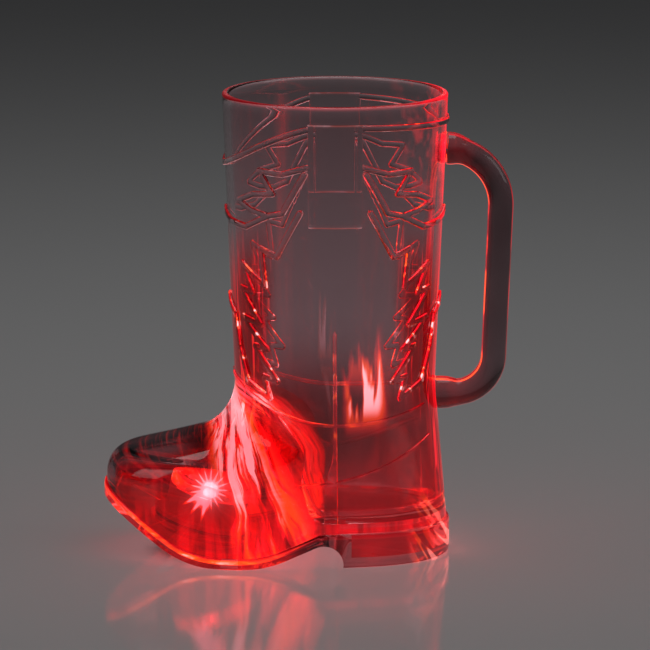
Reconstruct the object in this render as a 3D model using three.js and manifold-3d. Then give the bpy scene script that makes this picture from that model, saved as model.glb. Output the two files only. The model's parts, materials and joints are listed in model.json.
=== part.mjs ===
// A clear moulded drinking mug in the shape of a western boot, with a red light capsule in the toe.
// Millimetres, +Z up. The toe points to -X, the handle to +X, and the ground is at z = 0.
// Shapes are worked out about the shaft's axis, and the finished cup is then centred on its length.
import * as THREE from 'three';
import { mergeVertices } from 'three/addons/utils/BufferGeometryUtils.js';
import Module from 'manifold-3d';

const wasm = await Module();
wasm.setup();

// Driving dimensions of the shaft, in millimetres.
const CUP_HEIGHT = 165;
const MOUTH_RADIUS = 39.7;
const ANKLE_RADIUS = 35.6;
const ANKLE_HEIGHT = 62;
const WALL = 2.6;
const RIM_ROUND = 0.9;

// Driving dimensions of the foot, in millimetres and degrees.
const TOE_REACH = 81.4;
const COUNTER_REACH = 40;
const BALL_HALF_WIDTH = 33;
const HEEL_HALF_WIDTH = 28.5;
const WAIST_FRONT = -38;
const WAIST_BACK = 12;
const FOOT_SIDE_HEIGHT = 18;
const VAMP_ANGLE = 12.8;
const INSTEP_RADIUS = 19;
const TOE_ROUND = 9.5;

// How square an outline is: 2 is an ellipse, and more is squarer.
const ROUND_POWER = 2;
const TOE_POWER = 2.6;
const VAMP_POWER = 1.8;
const COUNTER_POWER = 2.2;

// Drinking cavity, and the dry chamber ahead of it for the light.
const CAVITY_CLEARANCE = 0.8;
const CAVITY_FLOOR_ROUND = 6;
const CAVITY_FLOOR_FRONT = 12;
const CHAMBER_DROP = 10;

// Sole and heel.
const SOLE_THICKNESS = 3.5;
const WELT = 1;
const BALL_FRONT = -40;
const BALL_BACK = -34;
const TOE_SPRING_RADIUS = 38;
const TOE_SPRING_ANGLE = 35.5;
const SHANK_RADIUS = 45;
const SHANK_ANGLE = 22.5;
const HEEL_TOP = 12;
const HEEL_BREAST = 3;
const BREAST_FILLET = 7;
const HEEL_FLOOR = 3;
const WELD_RIB_HEIGHT = 1.5;
const WELD_RIB_WIDTH = 1.2;

// Raised relief on the shaft, in side view.
const RELIEF = 1;
const BEAD_WIDTH = 2.4;
const STRAP_WIDTH = 19;
const STRAP_LENGTH = 36;
const STRAP_DROP = 6;
const COLLAR_CREST = 4;
const COLLAR_FRONT_DIP = 24;
const COLLAR_BACK_DIP = 4;
const SEAM_WIDTH = 1.8;
const SIDE_SEAM_TOP = 71;
const VAMP_SEAM_HEIGHT = 52.6;
const VAMP_SEAM_FRONT_RISE = 20;
const VAMP_SEAM_BACK_RISE = 4;
const VAMP_SEAM_BACK = 31;
const COUNTER_SEAM_HEIGHT = 30;
const COUNTER_SEAM_RISE = 15;
const COUNTER_SEAM_FRONT = -12;
const COUNTER_SEAM_BACK = 33;

// Flames in side view: points of reach from the side's middle, and drop below the rim.
const UPPER_FLAME = [
  [9.5, 21], [18, 23.8], [26, 23.4], [21.5, 31], [28, 32], [33, 35.2], [28.5, 37.8], [23, 39],
  [30.5, 44], [36, 43.5], [44, 37],
];
const INNER_FLAME = [[10.5, 23.5], [18, 37.5], [23, 39]];
const LOWER_FLAME = [
  [12, 37], [20, 53], [25, 51], [24, 64], [31, 58.5], [28.5, 67], [31.5, 66.5], [25.5, 78], [30.5, 76.5],
  [23.5, 86.5], [27, 86], [20, 97.5], [24, 96.5], [22.5, 104], [30, 99.5], [33, 88], [34.5, 77], [39, 68],
];

// Bar handle.
const HANDLE_REACH = 63;
const HANDLE_THICKNESS = 9;
const HANDLE_WIDTH = 10;
const HANDLE_POWER = 2.6;
const HANDLE_DROP = 20;
const HANDLE_SPAN = 88;
const HANDLE_TOP_BEND = 20;
const HANDLE_FOOT_BEND = 14;
const HANDLE_LEAN = 2.2;
const HANDLE_PAD_EXTRA = 1.1;
const HANDLE_PAD_LENGTH = 9;

// Clearance between touching pieces.
const GAP = 0.3;

// Light capsule, stacked along its own axis from the sole's lower face.
const CAPSULE_SETBACK = 10;
const COVER_RADIUS = 16;
const COVER_OUTSET = 3.8;
const COVER_THICKNESS = 1.8;
const SEAL_THICKNESS = 0.6;
const LEDGE_THICKNESS = 1.6;
const BOSS_WALL = 2.3;
const HOUSING_WALL = 1.8;
const HOUSING_SLACK = 1.1;
const FLANGE_WIDTH = 2.8;
const FLANGE_THICKNESS = 1.5;
const SHOULDER_WIDTH = 1.2;
const SHOULDER_HEIGHT = 1.4;
const LENS_WALL = 1.4;
const LENS_RIM = 4;
const LENS_RISE = 3.6;

// Cells and contacts.
const CELL_RADIUS = 5.8;
const CELL_HEIGHT = 3.1;
const CELL_COUNT = 3;
const CELL_EDGE = 0.4;
const SLEEVE_WALL = 1;
const CONTACT_SHEET = 0.4;
const CONTACT_TONGUE = 3;
const SPRING_HEIGHT = 1.8;
const SPRING_RADIUS = 4.2;
const SPRING_TIP_RADIUS = 1.4;

// Circuit board and what it carries.
const BOARD_THICKNESS = 1;
const LED_COUNT = 3;
const LED_RADIUS = 2.5;
const LED_FLANGE = 0.4;
const LED_FLANGE_HEIGHT = 1;
const LED_HEIGHT = 4.8;
const LED_CIRCLE = 6.6;
const LED_TURN = -30;
const CHIP_SIZE = new THREE.Vector3(4.6, 3.6, 1.5);
const RESISTOR_SIZE = new THREE.Vector3(1.6, 3.2, 0.6);
const RESISTOR_CIRCLE = 9;

// Push button and switch.
const BUTTON_RADIUS = 3.2;
const BUTTON_COLLAR = 1;
const BUTTON_COLLAR_HEIGHT = 0.8;
const BUTTON_PROUD = 0.5;
const BUTTON_DISH = 0.4;
const BUTTON_STEM_RADIUS = 1.4;
const SWITCH_SIDE = 6;
const SWITCH_HEIGHT = 3.4;
const PLUNGER_RADIUS = 1.6;
const PLUNGER_LENGTH = 1.3;
const PLUNGER_TRAVEL = 0.8;

// Cover screws.
const SCREW_RADIUS = 0.9;
const SCREW_LENGTH = 7;
const SCREW_HEAD_RADIUS = 1.9;
const SCREW_HEAD_HEIGHT = 0.8;
const SCREW_SLOT = 0.5;
const SCREW_SLOT_LENGTH = 2.5;
const SCREW_BOSS_RADIUS = 2.3;
const SCREW_BOSS_SET = -1.5;

// Fineness of round shapes.
const OUTLINE_POINTS = 32;
const ARC_STEPS = 5;
const CAVITY_STEPS = 8;
const TURN_STEPS = 24;
const SMALL_TURN_STEPS = 12;
const HANDLE_POINTS = 16;
const SEAM_STEPS = 6;
const FRONT_STEPS = [2, 3, 5, 5, 1];
const SOLE_STEPS = [1, 10, 1, 6, 1];
const HANDLE_STEPS = [2, 7, 1, 7, 2];

const { degToRad, lerp, smoothstep } = THREE.MathUtils;

// A cut runs this far past the faces that it opens.
const PAST = 5;

// Turns a closed geometry into a solid that can be joined and cut.
function solid(geometry) {
  const bare = new THREE.BufferGeometry();
  bare.setAttribute('position', geometry.getAttribute('position').clone());
  bare.setIndex(geometry.index);
  const merged = mergeVertices(bare);
  const triangles = [];
  const index = merged.index.array;
  for (let i = 0; i < index.length; i += 3) {
    const [a, b, c] = index.slice(i, i + 3);
    if (a !== b && b !== c && c !== a) {
      triangles.push(a, b, c);
    }
  }
  const mesh = new wasm.Mesh({
    numProp: 3,
    vertProperties: new Float32Array(merged.getAttribute('position').array),
    triVerts: new Uint32Array(triangles),
  });
  return new wasm.Manifold(mesh);
}

// Turns a solid back into a geometry.
function surface(body) {
  const mesh = body.getMesh();
  const geometry = new THREE.BufferGeometry();
  geometry.setAttribute('position', new THREE.BufferAttribute(mesh.vertProperties, mesh.numProp));
  geometry.setIndex(new THREE.BufferAttribute(mesh.triVerts, 1));
  geometry.computeVertexNormals();
  return geometry;
}

function joined(first, ...others) {
  return others.reduce((body, other) => body.add(other), first);
}

function cut(first, ...others) {
  return others.reduce((body, other) => body.subtract(other), first);
}

// Skins a row of rings that all have the same number of points, and closes both ends with a fan.
function loft(rings) {
  const count = rings[0].length;
  const points = rings.flat();
  const triangles = [];
  for (let row = 0; row + 1 < rings.length; row += 1) {
    for (let i = 0; i < count; i += 1) {
      const a = row * count + i;
      const b = row * count + (i + 1) % count;
      triangles.push(a, b, b + count, a, b + count, a + count);
    }
  }
  for (const [row, forward] of [[0, false], [rings.length - 1, true]]) {
    const centre = new THREE.Vector3();
    rings[row].forEach((point) => centre.addScaledVector(point, 1 / count));
    const hub = points.push(centre) - 1;
    for (let i = 0; i < count; i += 1) {
      const a = row * count + i;
      const b = row * count + (i + 1) % count;
      triangles.push(hub, forward ? a : b, forward ? b : a);
    }
  }
  const geometry = new THREE.BufferGeometry().setFromPoints(points);
  geometry.setIndex(triangles);
  return geometry;
}

function arc(x, z, radius, from, to) {
  return new THREE.EllipseCurve(x, z, radius, radius, from, to, to < from);
}

// A route in side view: arcs in turn, joined by straight runs, between two end points.
function route(start, arcs, end) {
  const curves = [];
  let from = start;
  for (const bend of arcs) {
    curves.push(new THREE.LineCurve(from, bend.getPoint(0)), bend);
    from = bend.getPoint(1);
  }
  curves.push(new THREE.LineCurve(from, end));
  return curves;
}

// The points of a route, with a number of steps for each of its curves.
function pointsAlong(curves, steps) {
  return curves.flatMap((curve, i) => curve.getPoints(steps[i]).slice(i ? 1 : 0));
}

// A side-view outline (x, z) carried across the whole width of the cup.
function acrossWidth(outline, halfWidth = MOUTH_RADIUS + BALL_HALF_WIDTH) {
  const geometry = new THREE.ExtrudeGeometry(new THREE.Shape(outline), {
    depth: 2 * halfWidth,
    bevelEnabled: false,
  });
  geometry.rotateX(Math.PI / 2);
  geometry.translate(0, halfWidth, 0);
  return solid(geometry);
}

// A side-view rectangle carried across the width.
function slab(x0, x1, z0, z1) {
  const corners = [[x0, z0], [x1, z0], [x1, z1], [x0, z1]];
  return acrossWidth(corners.map(([x, z]) => new THREE.Vector2(x, z)));
}

// A profile of radius and height turned about the Z axis.
function turned(profile, steps = TURN_STEPS) {
  const geometry = new THREE.LatheGeometry(profile.map(([r, z]) => new THREE.Vector2(r, z)), steps);
  geometry.rotateX(Math.PI / 2);
  return geometry;
}

function rod(radius, z0, z1, x = 0, y = 0, steps = TURN_STEPS) {
  const geometry = turned([[0, z0], [radius, z0], [radius, z1], [0, z1]], steps);
  geometry.translate(x, y, 0);
  return geometry;
}

function washer(inner, outer, z0, z1) {
  return turned([[inner, z0], [outer, z0], [outer, z1], [inner, z1], [inner, z0]]);
}

function block(size, x, y, z) {
  const geometry = new THREE.BoxGeometry(size.x, size.y, size.z);
  geometry.translate(x, y, z);
  return geometry;
}

// The boot's outside form, drawn as level outlines.

function shaftRadius(z) {
  return lerp(ANKLE_RADIUS, MOUTH_RADIUS, (z - ANKLE_HEIGHT) / (CUP_HEIGHT - ANKLE_HEIGHT));
}

function backReach(z) {
  if (z > ANKLE_HEIGHT) {
    return shaftRadius(z);
  }
  const rise = Math.max(0, (z - HEEL_TOP) / (ANKLE_HEIGHT - HEEL_TOP));
  return lerp(COUNTER_REACH, ANKLE_RADIUS, rise);
}

function halfWidth(x, z) {
  const forward = smoothstep(-x, -WAIST_BACK, -WAIST_FRONT);
  const foot = lerp(HEEL_HALF_WIDTH, BALL_HALF_WIDTH, forward);
  const shaft = shaftRadius(Math.max(z, ANKLE_HEIGHT));
  return lerp(foot, shaft, smoothstep(z, FOOT_SIDE_HEIGHT, ANKLE_HEIGHT));
}

const vampSlope = degToRad(VAMP_ANGLE);
const instepX = -ANKLE_RADIUS - INSTEP_RADIUS;
const vampTop = new THREE.Vector2(
  instepX + INSTEP_RADIUS * Math.sin(vampSlope),
  ANKLE_HEIGHT - INSTEP_RADIUS * Math.cos(vampSlope),
);
const toeRoundX = -TOE_REACH + TOE_ROUND;
const toeRoundZ =
  vampTop.y + (toeRoundX - vampTop.x) * Math.tan(vampSlope) - TOE_ROUND / Math.cos(vampSlope);

function frontPower(z) {
  if (z < vampTop.y) {
    return lerp(TOE_POWER, VAMP_POWER, smoothstep(z, toeRoundZ, vampTop.y));
  }
  return lerp(VAMP_POWER, ROUND_POWER, smoothstep(z, vampTop.y, ANKLE_HEIGHT));
}

function backPower(z) {
  return lerp(COUNTER_POWER, ROUND_POWER, smoothstep(z, HEEL_TOP, ANKLE_HEIGHT));
}

// One level outline: two half superellipses that meet at the shaft's axis.
function outline(z, front, back, inset) {
  const points = [];
  for (let i = 0; i < OUTLINE_POINTS; i += 1) {
    const turn = (2 * Math.PI * i) / OUTLINE_POINTS;
    const along = Math.cos(turn);
    const side = Math.sin(turn);
    const reach = along < 0 ? front : back;
    const power = 2 / (along < 0 ? frontPower(z) : backPower(z));
    const x = reach * Math.sign(along) * Math.abs(along) ** power;
    const y = (halfWidth(x, z) - inset) * Math.sign(side) * Math.abs(side) ** power;
    points.push(new THREE.Vector3(x, y, z));
  }
  return points;
}

// The front of the boot in side view, from under the toe, over the vamp and instep, up the shaft.
function frontLine(inset, top) {
  const toe = arc(toeRoundX, toeRoundZ, TOE_ROUND - inset, Math.PI, Math.PI / 2 + vampSlope);
  const instep = arc(instepX, ANKLE_HEIGHT, INSTEP_RADIUS + inset, vampSlope - Math.PI / 2, 0);
  const start = new THREE.Vector2(-TOE_REACH + inset, -PAST);
  const end = new THREE.Vector2(-shaftRadius(top) + inset, top);
  return pointsAlong(route(start, [toe, instep], end), FRONT_STEPS);
}

// The boot's form, set in from the outside by a wall, or grown by a negative one, up to a height.
function bootForm(inset, top) {
  return frontLine(inset, top).map(({ x, y: z }) => outline(z, -x, backReach(z) - inset, inset));
}

// The lip is rounded off by a last, smaller ring.
function outerForm() {
  const rings = bootForm(0, CUP_HEIGHT - RIM_ROUND);
  const lip = shaftRadius(CUP_HEIGHT) - RIM_ROUND;
  rings.push(outline(CUP_HEIGHT, lip, lip, shaftRadius(CUP_HEIGHT) - lip));
  return solid(loft(rings));
}

// The drinking cavity: the shaft's bore, whose front slopes back over the foot to a rounded heel floor.
function cavityForm(grow) {
  const cavityFloor = HEEL_TOP + WELD_RIB_HEIGHT + CAVITY_CLEARANCE + WALL;
  const depth = ANKLE_HEIGHT - cavityFloor;
  const ankleFront = ANKLE_RADIUS - WALL;
  const rings = [];
  for (let i = CAVITY_STEPS; i >= 0; i -= 1) {
    const turn = (Math.PI / 2) * (i / CAVITY_STEPS);
    const z = ANKLE_HEIGHT - depth * Math.sin(turn);
    const front = lerp(ankleFront, CAVITY_FLOOR_FRONT, Math.sin(turn));
    const below = Math.max(0, 1 - (z - cavityFloor) / CAVITY_FLOOR_ROUND);
    const floorRound = CAVITY_FLOOR_ROUND * (1 - Math.sqrt(1 - below * below));
    const inset = WALL - grow + floorRound;
    rings.push(outline(z - grow * Math.sin(turn), front + grow, backReach(z) - inset, inset));
  }
  const top = CUP_HEIGHT + PAST;
  const mouth = shaftRadius(top) - WALL + grow;
  rings.push(outline(top, mouth, mouth, WALL - grow));
  return solid(loft(rings));
}

// The sole's line in side view, lifted off its lower face, from past the toe to past the heel.
function soleLine(lift) {
  const spring = degToRad(TOE_SPRING_ANGLE);
  const shank = degToRad(SHANK_ANGLE);
  const down = -Math.PI / 2;
  const toe = arc(BALL_FRONT, TOE_SPRING_RADIUS, TOE_SPRING_RADIUS - lift, down - spring, down);
  const waist = arc(BALL_BACK, SHANK_RADIUS, SHANK_RADIUS - lift, down, down + shank);
  const toeRun = new THREE.Vector2(-Math.cos(spring), Math.sin(spring)).multiplyScalar(TOE_REACH);
  const start = toe.getPoint(0).add(toeRun);
  const heelZ = HEEL_TOP + lift - SOLE_THICKNESS;
  const bend = waist.getPoint(1);
  const end = new THREE.Vector2(bend.x + (heelZ - bend.y) / Math.tan(shank), heelZ);
  const points = pointsAlong(route(start, [toe, waist], end), SOLE_STEPS);
  return [...points, new THREE.Vector2(COUNTER_REACH + PAST, heelZ)];
}

// The sole's lower face in side view, with the heel's breast and flat.
function soleUnderside() {
  const shank = degToRad(SHANK_ANGLE);
  const line = soleLine(0).slice(0, -2);
  const end = line.at(-1);
  const filletX = HEEL_BREAST - BREAST_FILLET;
  const filletZ = end.y + (filletX - end.x) * Math.tan(shank) - BREAST_FILLET / Math.cos(shank);
  const breast = arc(filletX, filletZ, BREAST_FILLET, Math.PI / 2 + shank, 0);
  const flat = [HEEL_BREAST, COUNTER_REACH + PAST].map((x) => new THREE.Vector2(x, 0));
  return [...line, ...breast.getPoints(ARC_STEPS), ...flat];
}

// Everything above a lifted sole line.
function aboveSole(lift) {
  const line = soleLine(lift);
  const top = CUP_HEIGHT + PAST;
  return acrossWidth([
    ...line,
    new THREE.Vector2(line.at(-1).x, top),
    new THREE.Vector2(line[0].x, top),
  ]);
}

// The foot's plan carried straight up.
function footPlan(inset, z0, z1) {
  const ring = outline(0, TOE_REACH - inset, COUNTER_REACH - inset, inset);
  const shape = new THREE.Shape(ring.map(({ x, y }) => new THREE.Vector2(x, y)));
  const geometry = new THREE.ExtrudeGeometry(shape, { depth: z1 - z0, bevelEnabled: false });
  geometry.translate(0, 0, z0);
  return solid(geometry);
}

// A band of even width along a side-view line, with mitred corners.
function band(line, width) {
  const points = line.map(([x, z]) => new THREE.Vector2(x, z));
  const side = (sign) => points.map((point, i) => {
    const before = points[Math.max(0, i - 1)];
    const after = points[Math.min(points.length - 1, i + 1)];
    const into = point.clone().sub(before).normalize();
    const out = after.clone().sub(point).normalize();
    const along = into.clone().add(out).normalize();
    const reach = i > 0 && i + 1 < points.length ? along.dot(out) : 1;
    const offset = (sign * width) / 2 / reach;
    return new THREE.Vector2(point.x - along.y * offset, point.y + along.x * offset);
  });
  return acrossWidth([...side(-1), ...side(1).reverse()]);
}

// A line between two places along the boot, whose height goes with the square of the way from a level place.
function seam(from, to, level, height, rise) {
  const reach = Math.max(level - from, to - level);
  return Array.from({ length: SEAM_STEPS + 1 }, (_, i) => {
    const x = lerp(from, to, i / SEAM_STEPS);
    return [x, height + rise * ((x - level) / reach) ** 2];
  });
}

// Collar bead, pull straps, flames and seams stand proud of both sides of the shaft.
function relief() {
  const strapTop = CUP_HEIGHT - STRAP_DROP;
  const pastFront = -MOUTH_RADIUS - PAST;
  const halfStrap = STRAP_WIDTH / 2;
  const frontCollar = seam(pastFront, -halfStrap, COLLAR_CREST, strapTop, -COLLAR_FRONT_DIP);
  const backCollar = [[halfStrap, strapTop - BEAD_WIDTH / 2], [-pastFront, strapTop - COLLAR_BACK_DIP]];
  const vampFront = seam(pastFront, 0, 0, VAMP_SEAM_HEIGHT, VAMP_SEAM_FRONT_RISE);
  const vampBack = seam(0, VAMP_SEAM_BACK, 0, VAMP_SEAM_HEIGHT, VAMP_SEAM_BACK_RISE);
  const counterFront = COUNTER_SEAM_FRONT;
  const counter = seam(counterFront, COUNTER_SEAM_BACK, counterFront, COUNTER_SEAM_HEIGHT, COUNTER_SEAM_RISE);
  const seams = [vampFront, vampBack, counter].map((line) => band(line, SEAM_WIDTH));
  const belowRim = (line) => line.map(([x, drop]) => [x, CUP_HEIGHT - drop]);
  const flames = [UPPER_FLAME, INNER_FLAME, LOWER_FLAME].map(belowRim);
  const mirrored = flames.map((line) => line.map(([x, z]) => [-x, z]));
  const beads = [frontCollar, backCollar, ...flames, ...mirrored].map((line) => band(line, BEAD_WIDTH));
  const strap = slab(-halfStrap, halfStrap, strapTop - STRAP_LENGTH, strapTop);
  const sideSeam = slab(-SEAM_WIDTH / 2, SEAM_WIDTH / 2, 0, SIDE_SEAM_TOP);
  const proud = solid(loft(bootForm(-RELIEF, CUP_HEIGHT - RIM_ROUND)));
  return proud.intersect(joined(strap, sideSeam, ...seams, ...beads));
}

function bootShell() {
  const body = joined(outerForm(), relief()).intersect(aboveSole(SOLE_THICKNESS + GAP));
  const chamber = solid(loft(bootForm(WALL, ANKLE_HEIGHT)))
    .intersect(slab(-TOE_REACH, COUNTER_REACH, -PAST, ANKLE_HEIGHT - CHAMBER_DROP));
  return surface(cut(body, cavityForm(0), cut(chamber, cavityForm(WALL))));
}

// The light capsule stands square to the sole, behind the toe spring's start.
const capsuleTilt = Math.asin(CAPSULE_SETBACK / TOE_SPRING_RADIUS);
const capsuleX = BALL_FRONT - CAPSULE_SETBACK;
const capsuleZ = TOE_SPRING_RADIUS * (1 - Math.cos(capsuleTilt));

function inCapsule(geometry) {
  geometry.rotateY(capsuleTilt);
  geometry.translate(capsuleX, 0, capsuleZ);
  return solid(geometry);
}

// Heights up the capsule's axis, each resting on the one before with a clearance.
const coverTop = COVER_OUTSET + COVER_THICKNESS;
const coverSealBase = coverTop + GAP;
const ledgeBase = coverSealBase + SEAL_THICKNESS + GAP;
const ledgeTop = ledgeBase + LEDGE_THICKNESS;
const capsuleSealBase = ledgeTop + GAP;
const housingBase = capsuleSealBase + SEAL_THICKNESS + GAP;
const plateBase = coverTop + GAP;
const cellBase = plateBase + CONTACT_SHEET + GAP;
const cellPitch = CELL_HEIGHT + GAP;
const springBase = cellBase + CELL_COUNT * cellPitch;
const springTop = springBase + SPRING_HEIGHT;
const boardBase = springTop + GAP;
const boardTop = boardBase + BOARD_THICKNESS;
const housingTop = boardTop + GAP;
const lensBase = housingTop + GAP;

// Places across the capsule: the cells' sleeve on one side, the button on the other.
const sleeveInner = CELL_RADIUS + GAP;
const sleeveOuter = sleeveInner + SLEEVE_WALL;
const buttonCollar = BUTTON_RADIUS + BUTTON_COLLAR;
const housingBore = (sleeveInner + sleeveOuter + 2 * buttonCollar + 3 * HOUSING_SLACK) / 2;
const housingRadius = housingBore + HOUSING_WALL;
const cellX = housingBore - sleeveInner - GAP / 2;
const buttonX = buttonCollar + HOUSING_SLACK - housingBore;
const portRadius = housingBore + GAP;
const flangeRadius = housingRadius + FLANGE_WIDTH;
const boardRadius = housingBore - GAP;
const screwY = housingBore - SCREW_BOSS_RADIUS;

function outsole() {
  const profile = acrossWidth([...soleUnderside(), ...soleLine(SOLE_THICKNESS).reverse()]);
  const sole = footPlan(-WELT, -PAST, ANKLE_HEIGHT).intersect(profile);
  const ribTop = SOLE_THICKNESS + WELD_RIB_HEIGHT;
  const ribOuter = WALL + 2 * GAP;
  const rib = cut(
    footPlan(ribOuter, -PAST, ANKLE_HEIGHT),
    footPlan(ribOuter + WELD_RIB_WIDTH, -PAST, ANKLE_HEIGHT),
    aboveSole(ribTop),
  ).intersect(aboveSole(SOLE_THICKNESS / 2));
  const pocket = footPlan(ribOuter + WELD_RIB_WIDTH, HEEL_FLOOR, ANKLE_HEIGHT)
    .intersect(slab(HEEL_BREAST + WALL, COUNTER_REACH, HEEL_FLOOR, ANKLE_HEIGHT));
  const bossRadius = COVER_RADIUS + GAP + BOSS_WALL;
  const boss = inCapsule(rod(bossRadius, -PAST, ledgeTop)).intersect(aboveSole(0));
  const flangeRoom = inCapsule(rod(flangeRadius + GAP, ledgeTop, ANKLE_HEIGHT));
  const recess = inCapsule(rod(COVER_RADIUS + GAP, -PAST, ledgeBase));
  const port = inCapsule(rod(portRadius, -PAST, ANKLE_HEIGHT));
  return surface(cut(joined(sole, rib, boss), pocket, flangeRoom, recess, port));
}

// The handle's centre line in side view: out from the shaft, down, and back to it.
function handleLine() {
  const top = CUP_HEIGHT - HANDLE_DROP;
  const foot = top - HANDLE_SPAN;
  const lean = degToRad(HANDLE_LEAN);
  const bend = HANDLE_TOP_BEND - HANDLE_FOOT_BEND;
  const topX = HANDLE_REACH - HANDLE_THICKNESS / 2 - HANDLE_TOP_BEND;
  const topZ = top - HANDLE_TOP_BEND;
  const footZ = foot + HANDLE_FOOT_BEND;
  const run = (topZ - bend * Math.sin(lean) - footZ) / Math.cos(lean);
  const footX = topX + bend * Math.cos(lean) - run * Math.sin(lean);
  const topBend = arc(topX, topZ, HANDLE_TOP_BEND, Math.PI / 2, -lean);
  const footBend = arc(footX, footZ, HANDLE_FOOT_BEND, -lean, -Math.PI / 2);
  const start = new THREE.Vector2(backReach(top) - WALL / 2, top);
  const end = new THREE.Vector2(backReach(foot) - WALL / 2, foot);
  return route(start, [topBend, footBend], end);
}

function handle() {
  const curves = handleLine();
  const length = curves.reduce((sum, curve) => sum + curve.getLength(), 0);
  const rings = [];
  let walked = 0;
  curves.forEach((curve, n) => {
    const steps = HANDLE_STEPS[n];
    for (let i = n ? 1 : 0; i <= steps; i += 1) {
      const at = curve.getPoint(i / steps);
      const along = curve.getTangent(i / steps);
      const passed = walked + curve.getLength() * (i / steps);
      const toEnd = Math.min(passed, length - passed);
      const extra = HANDLE_PAD_EXTRA * (1 - smoothstep(toEnd, WALL, HANDLE_PAD_LENGTH));
      const ring = [];
      for (let k = 0; k < HANDLE_POINTS; k += 1) {
        const turn = (2 * Math.PI * k) / HANDLE_POINTS;
        const power = 2 / HANDLE_POWER;
        const across = Math.sign(Math.cos(turn)) * Math.abs(Math.cos(turn)) ** power;
        const up = Math.sign(Math.sin(turn)) * Math.abs(Math.sin(turn)) ** power;
        const rise = (up * (HANDLE_THICKNESS + extra)) / 2;
        const wide = (across * (HANDLE_WIDTH + extra)) / 2;
        ring.push(new THREE.Vector3(at.x - along.y * rise, wide, at.y + along.x * rise));
      }
      rings.push(ring);
    }
    walked += curve.getLength();
  });
  const seat = solid(loft(bootForm(-GAP, CUP_HEIGHT + PAST)));
  return surface(cut(solid(loft(rings)), seat));
}

function capsuleHousing() {
  const shoulderTop = springTop;
  const shoulderBore = housingBore - SHOULDER_WIDTH;
  const flangeTop = housingBase + FLANGE_THICKNESS;
  const shell = solid(turned([
    [housingBore, housingBase],
    [flangeRadius, housingBase],
    [flangeRadius, flangeTop],
    [housingRadius, flangeTop],
    [housingRadius, housingTop],
    [housingBore, housingTop],
    [housingBore, shoulderTop],
    [shoulderBore, shoulderTop],
    [shoulderBore, shoulderTop - SHOULDER_HEIGHT],
    [housingBore, shoulderTop - SHOULDER_HEIGHT - SHOULDER_WIDTH],
    [housingBore, housingBase],
  ]));
  const inside = solid(rod(housingBore, 0, springTop));
  const sleeve = solid(rod(sleeveOuter, cellBase + GAP, springBase, cellX)).intersect(inside);
  const post = (side, radius, from, to) =>
    solid(rod(radius, from, to, SCREW_BOSS_SET, side * screwY, SMALL_TURN_STEPS));
  const bosses = [1, -1].map((side) =>
    post(side, SCREW_BOSS_RADIUS, plateBase + GAP, springBase).intersect(inside));
  const pilots = [1, -1].map((side) => post(side, SCREW_RADIUS + GAP, 0, springBase - WALL));
  const cells = solid(rod(sleeveInner, 0, springTop, cellX));
  const slotSize = new THREE.Vector3(2 * SLEEVE_WALL + GAP, CONTACT_TONGUE + 2 * GAP, 2 * springTop);
  const slot = solid(block(slotSize, cellX - sleeveInner - SLEEVE_WALL / 2, 0, 0));
  return surface(cut(joined(shell, sleeve, ...bosses), cells, slot, ...pilots));
}

function lensCap() {
  const inner = housingRadius - LENS_WALL;
  const rimTop = lensBase + LENS_RIM;
  const lipOuter = boardRadius;
  const lipInner = lipOuter - LENS_WALL;
  const dome = (radius, rise, turn) => [radius * Math.cos(turn), rimTop + rise * Math.sin(turn)];
  const turns = Array.from({ length: ARC_STEPS + 1 }, (_, i) => (Math.PI / 2) * (i / ARC_STEPS));
  const outside = turns.map((turn) => dome(housingRadius, LENS_RISE, turn));
  const inside = turns.map((turn) => dome(inner, LENS_RISE - LENS_WALL, turn)).reverse();
  return turned([
    ...outside.with(-1, [0, rimTop + LENS_RISE]),
    ...inside.with(0, [0, rimTop + LENS_RISE - LENS_WALL]),
    [lipInner, lensBase],
    [lipInner, boardTop + GAP],
    [lipOuter, boardTop + GAP],
    [lipOuter, lensBase],
    [housingRadius, lensBase],
    outside[0],
  ]);
}

function led(turn) {
  const base = boardTop + GAP;
  const domeBase = base + LED_HEIGHT - LED_RADIUS;
  const flange = LED_RADIUS + LED_FLANGE;
  const profile = [
    [0, base],
    [flange, base],
    [flange, base + LED_FLANGE_HEIGHT],
    [LED_RADIUS, base + LED_FLANGE_HEIGHT],
  ];
  for (let i = 0; i < ARC_STEPS; i += 1) {
    const rise = (Math.PI / 2) * (i / ARC_STEPS);
    profile.push([LED_RADIUS * Math.cos(rise), domeBase + LED_RADIUS * Math.sin(rise)]);
  }
  profile.push([0, base + LED_HEIGHT]);
  const geometry = turned(profile, SMALL_TURN_STEPS);
  geometry.translate(LED_CIRCLE * Math.cos(turn), LED_CIRCLE * Math.sin(turn), 0);
  return geometry;
}

function resistor(turn) {
  const geometry = block(RESISTOR_SIZE, RESISTOR_CIRCLE, 0, boardTop + GAP + RESISTOR_SIZE.z / 2);
  geometry.rotateZ(turn);
  return geometry;
}

function cell(n) {
  const base = cellBase + n * cellPitch;
  const top = base + CELL_HEIGHT;
  const cap = CELL_RADIUS - 2 * CELL_EDGE;
  const geometry = turned([
    [0, base],
    [CELL_RADIUS - CELL_EDGE, base],
    [CELL_RADIUS, base + CELL_EDGE],
    [CELL_RADIUS, top - CELL_EDGE],
    [cap, top - CELL_EDGE],
    [cap, top],
    [0, top],
  ]);
  geometry.translate(cellX, 0, 0);
  return geometry;
}

// A dished spring washer presses on the top cell and carries its current to the board.
function batterySpring() {
  const base = springBase;
  const geometry = turned([
    [SPRING_TIP_RADIUS, base],
    [SPRING_RADIUS, springTop - CONTACT_SHEET],
    [SPRING_RADIUS, springTop],
    [SPRING_TIP_RADIUS, base + CONTACT_SHEET],
    [SPRING_TIP_RADIUS, base],
  ]);
  geometry.translate(cellX, 0, 0);
  return geometry;
}

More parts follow.
